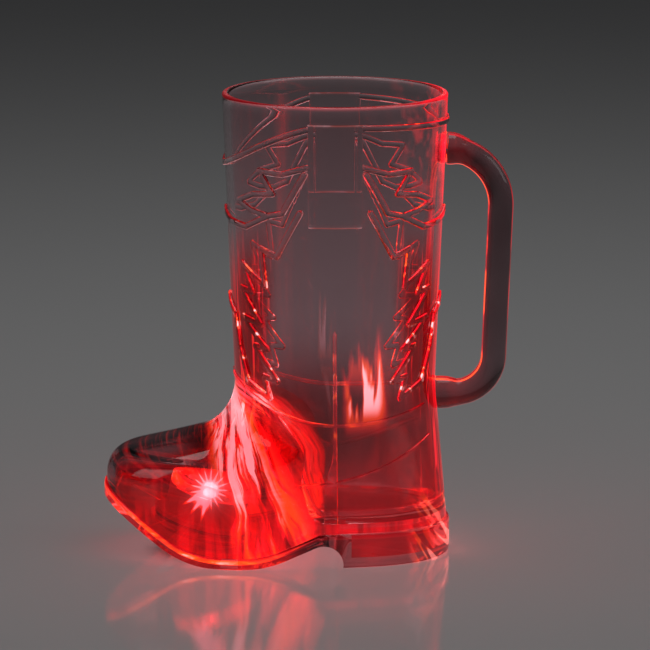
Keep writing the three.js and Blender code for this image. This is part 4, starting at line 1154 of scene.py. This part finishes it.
def strap_plastic(look):
    """The pull straps: clear, with painted shade darkening the hem and a little light painted on it."""
    material, place = new_material("strap_plastic")
    hem = place.painted("hem")
    spark = place.noise(220.0, 3.0).step(0.45, 0.70)
    # Painted shade darkens the hem.
    tint = hem.tint(look.smoke, look.painted_shade_red)
    light = hem * spark.between(0.11, 0.18)
    return clear_plastic(material, place, look, tint, light, spark.between(0.7, 1.0))


def cavity_plastic(look, boot):
    """The drinking cavity: curtains at its front, wisps behind the side seam, and a dim glow in the heel."""
    material, place = new_material("cavity_plastic")
    along, across, height = boot_place(place, boot)
    walls, streaks = wall_streaks(place, boot)
    curtains, heat = curtain(place, boot)
    tongues = wisps(place, boot)
    floor = height.step(*FLOOR_GLOW) * abs(across).step(*FLOOR_MIDDLE)
    veil = along.step(*HEEL_UNDER) * height.step(*HEEL_WALL)
    carried = walls * 0.020 + streaks * 0.22 + floor * 0.012 + veil * 0.022
    light = carried + curtains * 0.36 + tongues * 0.7 + FAINT_GLOW
    return wall_plastic(material, place, look, boot, light, heat + tongues)


def bead_plastic(look, boot):
    """The relief, which lets out light at its upper edges, most of it low on the shaft and at the back.

    High on the shaft a pale highlight is painted on its lower edges, and painted shade darkens its upper
    edges and, low on the shaft, its lower ones.
    """
    material, place = new_material("bead_plastic")
    along, _, height = boot_place(place, boot)
    spark = place.noise(330.0, 5.0).step(0.52, 0.66)
    low = height.step(*FLAME_HEIGHTS)
    back = along.step(*FLAME_BACK)
    ends = abs(along).step(*FLAME_ENDS)
    side = place.painted("flank")
    upper = side.step(*FLANK)
    lower = (0.0 - side).step(*FLANK)
    # Painted highlight: a pale glow on the lower edges high on the shaft.
    pale = lower * (1.0 - low)
    lit = 0.08 + low * 0.20 + back * 0.30 + spark * (0.20 + low * 1.2 + back * 0.80)
    light = ends * (upper * lit + (lower + low) * spark * 0.14) + pale * 0.16
    # Painted shade: the upper edges, and the lower ones low on the shaft, are darkened towards the shade red.
    tint = ((upper + lower * low) * 0.8).tint(shell_tint_with_painted_light_and_shade(place, look, boot), look.painted_shade_red)
    heat = spark * low.between(0.35, 0.90) + pale * back.between(1.0, 0.3)
    return clear_plastic(material, place, look, tint, light, heat)


def star(place):
    """A star of light painted on the toe's near wall as a glint, before the light that is on.

    It reaches a share of its full length all round, further with a power of the cosine of the turn to each
    of its points, and furthest at its shards.
    """
    spot = box_middle(LIT_LED) + Vector(STAR_SHIFT)
    x, y, z = place.split()
    along, up = x - spot.x, z - spot.z
    turn = up.math("ARCTAN2", along)
    ragged = 0.5 + place.joined(turn * 4.0).noise(1.0, 1.0)
    point = abs((turn * (STAR_POINTS / 2.0)).math("COSINE")) ** 5.0
    shard = turn.step(*SHARD_START) * turn.step(*SHARD_END)
    reach = (0.52 + point * ragged * 0.48 + shard * 0.55) * STAR_REACH
    away = (along * along + up * up) ** 0.5
    return (away / reach).step(1.0, 0.65) * y.step(*STAR_SIDE)


def room_plastic(look, boot):
    """The dry room's outer walls: lit low down, with rays from the lens, the curtains' ends and the star."""
    material, place = new_material("room_plastic")
    along, across, height = boot_place(place, boot)
    spot = box_middle("lens_cap")
    turn = (height - spot.z).math("ARCTAN2", along - (spot.x - boot.axis_x))
    spokes = place.joined(turn * 20.0, across * 20.0).noise(1.0, 4.0).step(0.50, 0.62)
    rays = spokes * nearness(place, spot, RAY_REACH)
    low = height.step(*HAZE_HEIGHTS) * along.step(*HAZE_TOE)
    hang = place.scaled(1.0, 1.0, 0.10).noise(240.0, 3.0, 0.3).step(0.40, 0.58)
    curtains, heat = curtain(place, boot)
    flash = star(place)
    light = low * hang.between(0.08, 0.36) + rays * 0.16 + curtains * 0.40 + flash
    return wall_plastic(material, place, look, boot, light, heat + rays * 0.3 + flash)


def bowl_plastic(look, boot):
    """The bowl's underside over the light, which carries the curtains at their brightest."""
    material, place = new_material("bowl_plastic")
    along, _, _ = boot_place(place, boot)
    curtains, heat = curtain(place, boot)
    light = along.step(*BOWL_FRONT) * 0.05 + along.step(*HEEL_UNDER) * 0.008 + curtains * 0.50
    return wall_plastic(material, place, look, boot, light, heat)


class BOOTCUP_OT_sole(bpy.types.Operator):
    """Builds the clear sole with its rounded welt, hollow heel and the light capsule's port"""

    bl_idname = "bootcup.sole"
    bl_label = "Clear Sole"

    def execute(self, context):
        scene = context.scene
        boot = BootForm(scene)
        sole = SoleForm(scene, boot)
        s = scene.sole_sizes
        c = scene.capsule_sizes
        wall = scene.boot_sizes.wall
        reach = 2.0 * scene.boot_sizes.mouth_radius
        top = scene.boot_sizes.ankle_height
        finish = sole_plastic(scene.glow_look, boot)
        place = capsule_place(c)

        def rod(radius, low, high):
            """A round rod up the capsule's axis."""
            return revolve("rod", [[radius, low], [radius, high]], finish, place)

        def band(low, high):
            """What lies between two lifted lines of the sole."""
            outline = np.vstack([sole.line(low), sole.line(high)[::-1]])
            return prism("band", outline, reach, finish, boot.axis_x)

        grid, welt = sole.sole_plate()
        piece = grid_solid("clear_sole", grid, finish)
        paint(piece, "welt", welt)
        heel = grid_solid("heel", sole.column(-s.welt, 0.0, top, s.edge_round), finish)
        outline = np.vstack([sole.underside(), sole.line(s.thickness / 2.0)[::-1]])
        combine(heel, "INTERSECT", [prism("heel_side", outline, reach, finish, boot.axis_x)])
        inset = wall + 2.0 * s.gap
        rib = grid_solid("rib", sole.column(inset, -PAST, top), finish)
        room = sole.column(inset + s.rib_width, -2.0 * PAST, top + PAST)
        combine(rib, "DIFFERENCE", [grid_solid("rib_room", room, finish)])
        combine(rib, "INTERSECT", [band(s.thickness / 2.0, s.thickness + s.rib_height)])
        boss = rod(c.boss_radius, -PAST, c.ledge_top)
        above = sole.above(s.thickness / 4.0)
        combine(boss, "INTERSECT", [prism("above", above, reach, finish, boot.axis_x)])
        combine(piece, "UNION", [heel, rib, boss])
        pocket = grid_solid("pocket", sole.column(inset + s.rib_width, s.heel_floor, top), finish)
        front = s.heel_breast + wall
        side = np.array([[front, 0.0], [reach, 0.0], [reach, reach], [front, reach]])
        combine(pocket, "INTERSECT", [prism("pocket_side", side, reach, finish, boot.axis_x)])
        combine(piece, "DIFFERENCE", [
            pocket,
            rod(c.flange_radius, c.ledge_top, top),
            rod(c.cover_radius, -PAST, c.ledge_base),
            rod(c.port_radius, -PAST, top),
        ])
        settle(piece, "cup", "clear_sole", "outsole")
        return {"FINISHED"}


def sole_plastic(look, boot):
    """The sole, with the light running out along its welt from the toe to the ball, and a lit heel."""
    material, place = new_material("sole_plastic")
    along, _, _ = boot_place(place, boot)
    toe = along.step(*SOLE_TOE)
    welt = place.painted("welt")
    streak = place.scaled(1.0, 1.0, 3.0).noise(110.0, 3.0).step(0.42, 0.68)
    ball = along.step(*WELT_TIP).between(0.4, 1.0)
    corner = along.step(*HEEL_CORNER)
    facets = corner * slices(place, boot)
    heel = along.step(*HEEL_FRONT) * place.noise(60.0, 3.0).step(0.50, 0.70).between(0.020, 0.050)
    edge = welt * (0.05 + toe * ball * streak.between(0.35, 0.95))
    light = toe * streak.between(0.03, 0.09) + edge + heel + facets * 0.3
    # Painted light: the light's red is painted into the sole's colour, a little more towards the toe. Painted
    # shade darkens the heel's corner round its lit facets.
    painted_light_share = 0.80 + toe * 0.1 + place.noise(40.0, 2.0) * 0.1
    tint = ((corner - facets) * 0.8).tint(painted_light_share.tint(look.smoke, look.painted_light_red), look.painted_shade_red)
    heat = welt * toe * streak.between(0.3, 0.75) + facets * 0.7
    return clear_plastic(material, place, look, tint, light, heat)


class BOOTCUP_OT_handle(bpy.types.Operator):
    """Builds the clear bar handle, swollen where it seats on the shaft"""

    bl_idname = "bootcup.handle"
    bl_label = "Clear Handle"

    def execute(self, context):
        scene = context.scene
        boot = BootForm(scene)
        grid, poles, inner = handle_grid(scene, boot)
        piece = grid_solid("clear_handle", grid, handle_plastic(scene.glow_look, boot), poles)
        paint(piece, "inner", inner)
        settle(piece, "cup", "clear_handle", "handle")
        return {"FINISHED"}


def handle_grid(scene, boot):
    """A superellipse carried along the handle's line, swollen at both ends, which lie on the shaft.

    Also gives the two end points, and how far each point faces the shaft.
    """
    h = scene.handle_sizes
    s = scene.boot_sizes
    gap = scene.sole_sizes.gap
    top = s.cup_height - h.drop
    foot = top - h.span
    top_x = h.reach - h.thickness / 2.0 - h.top_bend
    top_z = top - h.top_bend
    foot_z = foot + h.foot_bend
    bend = h.top_bend - h.foot_bend
    run = (top_z - bend * np.sin(h.lean) - foot_z) / np.cos(h.lean)
    foot_x = top_x + bend * np.cos(h.lean) - run * np.sin(h.lean)
    line = np.vstack([
        [boot.back_reach(top), top],
        arc(top_x, top_z, h.top_bend, np.pi / 2.0, -h.lean, 2 * ARC_ROWS),
        arc(foot_x, foot_z, h.foot_bend, -h.lean, -np.pi / 2.0, 2 * ARC_ROWS),
        [boot.back_reach(foot), foot],
    ])
    line = evenly(line, ROW_STEP)
    way = np.concatenate([[0.0], np.cumsum(np.hypot(*np.diff(line, axis=0).T))])
    extra = h.pad_extra * (1.0 - smoothstep(np.minimum(way, way[-1] - way), s.wall, h.pad_length))
    along = np.gradient(line, way, axis=0)
    along /= np.hypot(*along.T)[:, None]
    across = signed_power(np.cos(HANDLE_TURNS), 2.0 / h.power)
    up = signed_power(np.sin(HANDLE_TURNS), 2.0 / h.power)
    rise = up * (h.thickness + extra[:, None]) / 2.0
    y = across * (h.width + extra[:, None]) / 2.0
    x = line[:, :1] - along[:, 1:] * rise
    z = line[:, 1:] + along[:, :1] * rise

    def seat(y, z):
        """How far back the shaft's outside lies at a place across and up, with the weld's gap."""
        power = boot.back_power(z)
        share = np.abs(y) / boot.half_width(0.0, z)
        return boot.back_reach(z) * (1.0 - share ** power) ** (1.0 / power) + gap

    x = np.maximum(x, seat(y, z))
    for row in (0, -1):
        x[row] = seat(y[row], z[row])
    ends = np.array([[seat(0.0, height) + boot.axis_x, 0.0, height] for height in (top, foot)])
    grid = np.stack(np.broadcast_arrays(x + boot.axis_x, y, z), axis=-1)
    return grid, ends, np.broadcast_to(-np.sin(HANDLE_TURNS), grid.shape[:2])


def handle_plastic(look, boot):
    """The handle: smoky, with lines of light along the faces towards and away from the shaft."""
    material, place = new_material("handle_plastic")
    along, _, _ = boot_place(place, boot)
    inner = place.painted("inner")
    facing = abs(inner)
    shaft_side = inner.step(*SHAFT_SIDE)
    spark = place.noise(90.0, 3.0).step(0.40, 0.62)
    line = facing.step(*LINE_START) * facing.step(*LINE_END).between(1.0, 0.15)
    bright = shaft_side.between(0.08, 0.22) + spark * shaft_side.between(0.20, 0.80)
    seat = along.step(*SEAT_REACH) * spark.between(0.004, 0.034)
    tint = (place.noise(40.0, 2.0) * 0.3).tint(look.haze, look.smoke)
    light = line * bright + seat + FAINT_GLOW
    return clear_plastic(material, place, look, tint, light, spark * line * shaft_side * 0.45)


class BOOTCUP_OT_lights(bpy.types.Operator):
    """Builds the lens and the three lights under it"""

    bl_idname = "bootcup.lights"
    bl_label = "Lens and Lights"

    def execute(self, context):
        scene = context.scene
        c = scene.capsule_sizes
        place = capsule_place(c)
        look = scene.glow_look
        lens = revolve("light_lens", lens_profile(c), lens_plastic(look), place)
        settle(lens, "cup", "lens_plastic", "lens_cap")
        for number in range(1, LED_COUNT + 1):
            node = f"led_{number}"
            turn = 2.0 * np.pi * (number - 0.5) / LED_COUNT + c.led_turn
            out = Vector((np.cos(turn), np.sin(turn), 0.0))
            chip = out * (c.led_circle + c.led_radius)
            chip.z = c.led_base + c.led_height / 2.0
            strength = look.led_full if node == LIT_LED else look.led_low
            finish = led_epoxy(f"led_epoxy_{number}", look, strength, place @ chip)
            spot = Matrix.Translation(out * c.led_circle)
            light = revolve(f"light_{number}", led_profile(c), finish, place @ spot)
            settle(light, "cup", "led_red", node)
        return {"FINISHED"}


def lens_profile(c):
    """The lens's closed profile: an elliptic dome over a straight rim, its inside, and the seating lip."""

    def dome(radius, rise):
        """A quarter of an ellipse over the lens's rim."""
        reach = np.maximum(radius * np.cos(DOME_TURNS), LENS_HUB)
        return np.stack([reach, c.lens_base + c.lens_rim + rise * np.sin(DOME_TURNS)], axis=-1)

    lip_inner = c.lip_radius - c.lens_wall
    lip = [[lip_inner, c.lens_base], [lip_inner, c.led_base], [c.lip_radius, c.led_base],
           [c.lip_radius, c.lens_base], [c.lens_radius, c.lens_base]]
    inside = dome(c.lens_radius - c.lens_wall, c.lens_rise - c.lens_wall)
    return np.vstack([inside[::-1], lip, dome(c.lens_radius, c.lens_rise)])


def led_profile(c):
    """A light's profile: a flat flange and a dome that is a cylinder under half a ball."""
    dome = arc(0.0, c.led_base + c.led_height - c.led_radius, c.led_radius, 0.0, np.pi / 2.0)
    dome[:, 0] = np.maximum(dome[:, 0], LED_HUB)
    flange = c.led_base + c.led_flange_height
    foot = [[LED_HUB, c.led_base], [c.led_flange, c.led_base], [c.led_flange, flange], [c.led_radius, flange]]
    return np.vstack([foot, dome])


def lens_plastic(look):
    """The lens: clear red plastic that the lights fill, with shards of light round the one that is on."""
    material, place = new_material("lens_plastic")
    cloud = place.noise(160.0, 2.0)
    spot = box_middle(LIT_LED)
    x, y, z = place.split()
    along = x - spot.x
    turn = (z - spot.z).math("ARCTAN2", along)
    spokes = place.joined(turn * 3.0, y * 60.0).noise(1.0, 2.0).step(0.50, 0.56)
    shards = along.step(*SHARD_SIDE) * spokes * nearness(place, spot, SHARD_REACH)
    tint = cloud.tint(look.rose, look.smoke)
    heat = cloud.step(0.45, 0.75) * 0.5 + shards
    return clear_plastic(material, place, look, tint, cloud * 0.4 + shards * 0.3, heat)


def led_epoxy(name, look, strength, chip):
    """A lit dome with a small chip in it that is far brighter."""
    material, place = new_material(name)
    cloud = place.noise(400.0, 1.0)
    hot = nearness(place, chip, CHIP_REACH) ** 2.0
    return finish_material(material, place, {
        "Base Color": cloud.tint(look.red, look.rose),
        "Roughness": cloud.between(0.15, 0.25),
        "Emission Color": hot.tint(look.dome, look.core),
        "Emission Strength": strength,
    })


class BOOTCUP_OT_capsule(bpy.types.Operator):
    """Finishes the light capsule's own pieces"""

    bl_idname = "bootcup.capsule"
    bl_label = "Light Capsule"

    def execute(self, context):
        finishes = (
            (lit_plastic(context.scene.glow_look), ("capsule_housing",)),
            (white_plastic(), ("battery_cover", "switch_plunger")),
            (dark_plastic("black_plastic", (0.012, 0.012, 0.013)),
             ("controller_chip", "switch_body", "resistor_1", "resistor_2", "resistor_3")),
            (dark_plastic("button_plastic", (0.02, 0.02, 0.022)), ("push_button",)),
            (seal_rubber(), ("cover_seal", "capsule_seal")),
            (board_laminate(), ("circuit_board",)),
            (sheet_metal("contact_brass", (0.60, 0.40, 0.12), (0.45, 0.27, 0.09), 900.0),
             ("battery_plate", "battery_spring")),
            (sheet_metal("cell_steel", (0.60, 0.61, 0.63), (0.42, 0.43, 0.45), 1400.0),
             ("battery_1", "battery_2", "battery_3")),
            (sheet_metal("screw_steel", (0.52, 0.53, 0.54), (0.36, 0.36, 0.34), 700.0),
             ("cover_screw_1", "cover_screw_2")),
        )
        for material, names in finishes:
            for name in names:
                mesh = frame["nodes"][name].data
                mesh.materials.clear()
                mesh.materials.append(material)
        return {"FINISHED"}


def lit_plastic(look):
    """Red moulded plastic that the lights above shine into."""
    material, place = new_material("lit_plastic")
    grain = place.noise(2600.0, 2.0)
    glow = nearness(place, box_middle("lens_cap"), HOUSING_REACH) * (0.5 + place.noise(120.0, 3.0))
    return finish_material(material, place, {
        "Base Color": grain.tint((0.30, 0.020, 0.028), (0.38, 0.030, 0.038)),
        "Roughness": grain.between(0.34, 0.54),
        "Emission Color": (glow * 0.45).tint(DARK, look.red),
        "Emission Strength": look.strength,
        "Normal": grain.bump(0.25, GRAIN_DEPTH),
    })


def white_plastic():
    """Satin moulded plastic with a fine spark texture and a faint yellowing."""
    material, place = new_material("white_plastic")
    grain = place.noise(2600.0, 2.0)
    cloud = place.noise(70.0, 2.0)
    return finish_material(material, place, {
        "Base Color": cloud.tint((0.74, 0.72, 0.68), (0.82, 0.81, 0.79)),
        "Roughness": grain.between(0.38, 0.58),
        "Normal": grain.bump(0.25, GRAIN_DEPTH),
    })


def dark_plastic(name, shade):
    """Matt dark moulded plastic with a fine grain."""
    material, place = new_material(name)
    grain = place.noise(3000.0, 3.0)
    worn = place.noise(200.0, 3.0).step(0.5, 0.8)
    paler = tuple(3.0 * value for value in shade)
    return finish_material(material, place, {
        "Base Color": worn.tint(shade, paler),
        "Roughness": grain.between(0.42, 0.67),
        "Normal": grain.bump(0.3, GRAIN_DEPTH),
    })


def seal_rubber():
    """Soft brown-red rubber, dull and slightly dusty."""
    material, place = new_material("seal_rubber")
    dust = place.noise(500.0, 4.0).step(0.45, 0.75)
    return finish_material(material, place, {
        "Base Color": dust.tint((0.22, 0.030, 0.026), (0.30, 0.075, 0.065)),
        "Roughness": dust.between(0.72, 0.87),
        "Normal": dust.bump(0.2, GRAIN_DEPTH),
    })


def board_laminate():
    """Green solder mask with copper tracks showing paler under it."""
    material, place = new_material("board_laminate")
    x, y, _ = place.split()
    tracks = (y * 2200.0).math("SINE").step(0.55, 0.8) * (x * 900.0).math("SINE").step(-0.6, 0.0)
    cloud = place.noise(120.0, 2.0)
    mask = cloud.tint((0.008, 0.085, 0.030), (0.014, 0.11, 0.042))
    return finish_material(material, place, {
        "Base Color": tracks.tint(mask, (0.035, 0.19, 0.075)),
        "Roughness": cloud.between(0.30, 0.45),
        "Normal": tracks.bump(0.4, GRAIN_DEPTH),
    })


def sheet_metal(name, bright, dull, fineness):
    """Plated sheet metal with a brushed grain and patches of tarnish."""
    material, place = new_material(name)
    brush = place.scaled(1.0, 0.06, 1.0).noise(fineness, 3.0)
    patch = place.noise(160.0, 3.0).step(0.42, 0.72)
    return finish_material(material, place, {
        "Base Color": patch.tint(bright, dull),
        "Metallic": 1.0,
        "Roughness": 0.22 + brush * 0.2 + patch * 0.08,
        "Normal": brush.bump(0.15, GRAIN_DEPTH),
    })


class BOOTCUP_OT_stage(bpy.types.Operator):
    """Builds the plain floor, the soft lights and the camera"""

    bl_idname = "bootcup.stage"
    bl_label = "Studio"

    def execute(self, context):
        scene = context.scene
        look = scene.studio_look
        corners = np.array([[-1.0, -1.0, 0.0], [1.0, -1.0, 0.0], [1.0, 1.0, 0.0], [-1.0, 1.0, 0.0]])
        mesh = bpy.data.meshes.new("floor")
        mesh.from_pydata((FLOOR_REACH * corners).tolist(), [], [[0, 1, 2, 3]])
        mesh.materials.append(floor_finish(look))
        floor = bpy.data.objects.new("floor", mesh)
        scene.collection.objects.link(floor)
        world = bpy.data.worlds.new("surround")
        world.use_nodes = True
        world.node_tree.nodes["Background"].inputs["Color"].default_value = (*look.world_colour, 1.0)
        scene.world = world
        soft_light("top_light", *TOP_LIGHT, look.top_power)
        soft_light("left_light", *LEFT_LIGHT, look.side_power)
        soft_light("right_light", *RIGHT_LIGHT, look.side_power)
        camera = bpy.data.objects.new("camera", bpy.data.cameras.new("camera"))
        scene.collection.objects.link(camera)
        camera.data.sensor_width = SENSOR
        camera.data.lens = look.focal_length
        axis_x = BootForm(scene).axis_x
        camera.location = (axis_x + look.camera_offset, -look.camera_distance, look.camera_height)
        camera.rotation_euler = (np.pi / 2.0 - look.camera_pitch, 0.0, 0.0)
        scene.camera = camera
        scene.view_settings.view_transform = "Standard"
        star_glare(scene)
        scene.cycles.max_bounces = LIGHT_BOUNCES
        scene.cycles.transmission_bounces = LIGHT_BOUNCES
        scene.cycles.transparent_max_bounces = LIGHT_BOUNCES
        return {"FINISHED"}


def floor_finish(look):
    """A pale, slightly glossy table top with the faintest mottling."""
    material, place = new_material("floor_finish")
    cloud = place.noise(6.0, 3.0)
    pale = tuple(look.floor_colour)
    return finish_material(material, place, {
        "Base Color": cloud.tint(pale, tuple(0.97 * value for value in pale)),
        "Roughness": cloud.between(0.07, 0.10),
    })


def soft_light(name, spot, side, power):
    """A square soft light at a spot, turned to face the cup."""
    light = bpy.data.lights.new(name, "AREA")
    light.size = side
    light.energy = power
    lamp = bpy.data.objects.new(name, light)
    lamp.location = spot
    lamp.rotation_euler = (Vector(LIGHT_AIM) - Vector(spot)).to_track_quat("-Z", "Y").to_euler()
    bpy.context.scene.collection.objects.link(lamp)


def star_glare(scene):
    """Short rays round the lights, as a lens gives to very bright points."""
    scene.use_nodes = True
    scene.node_tree.nodes.clear()
    view = Wire(scene.node_tree).node("CompositorNodeRLayers", {}, {}, "Image")
    settings = {"glare_type": "STREAKS", "quality": "HIGH"}
    rays = view.node("CompositorNodeGlare", settings, {"Image": view, **GLARE}, "Image")
    view.node("CompositorNodeComposite", {}, {"Image": rays})


OPERATORS = (
    BOOTCUP_OT_shell,
    BOOTCUP_OT_sole,
    BOOTCUP_OT_handle,
    BOOTCUP_OT_lights,
    BOOTCUP_OT_capsule,
    BOOTCUP_OT_stage,
)

GROUPS = {
    "boot_sizes": BootSizes,
    "sole_sizes": SoleSizes,
    "relief_sizes": ReliefSizes,
    "handle_sizes": HandleSizes,
    "capsule_sizes": CapsuleSizes,
    "glow_look": GlowLook,
    "studio_look": StudioLook,
}


class BOOTCUP_PT_panel(bpy.types.Panel):
    """Lists the cup's pieces and their sizes in the sidebar"""

    bl_idname = "BOOTCUP_PT_panel"
    bl_label = "Boot Cup"
    bl_space_type = "VIEW_3D"
    bl_region_type = "UI"
    bl_category = "Boot Cup"

    def draw(self, context):
        for operator in OPERATORS:
            self.layout.operator(operator.bl_idname)
        for name, group in GROUPS.items():
            box = self.layout.box()
            for field in group.__annotations__:
                box.prop(getattr(context.scene, name), field)


def register():
    """Adds the operators, the panel and the scene's sizes and looks to Blender."""
    for group in GROUPS.values():
        bpy.utils.register_class(group)
    for name, group in GROUPS.items():
        setattr(bpy.types.Scene, name, PointerProperty(type=group))
    for item in (*OPERATORS, BOOTCUP_PT_panel):
        bpy.utils.register_class(item)


def unregister():
    """Takes away what register added."""
    for item in (BOOTCUP_PT_panel, *reversed(OPERATORS)):
        bpy.utils.unregister_class(item)
    for name, group in GROUPS.items():
        delattr(bpy.types.Scene, name)
        bpy.utils.unregister_class(group)


def main():
    """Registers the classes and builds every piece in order."""
    register()
    for operator in OPERATORS:
        group, name = operator.bl_idname.split(".")
        getattr(getattr(bpy.ops, group), name)()


if __name__ == "__main__":
    main()
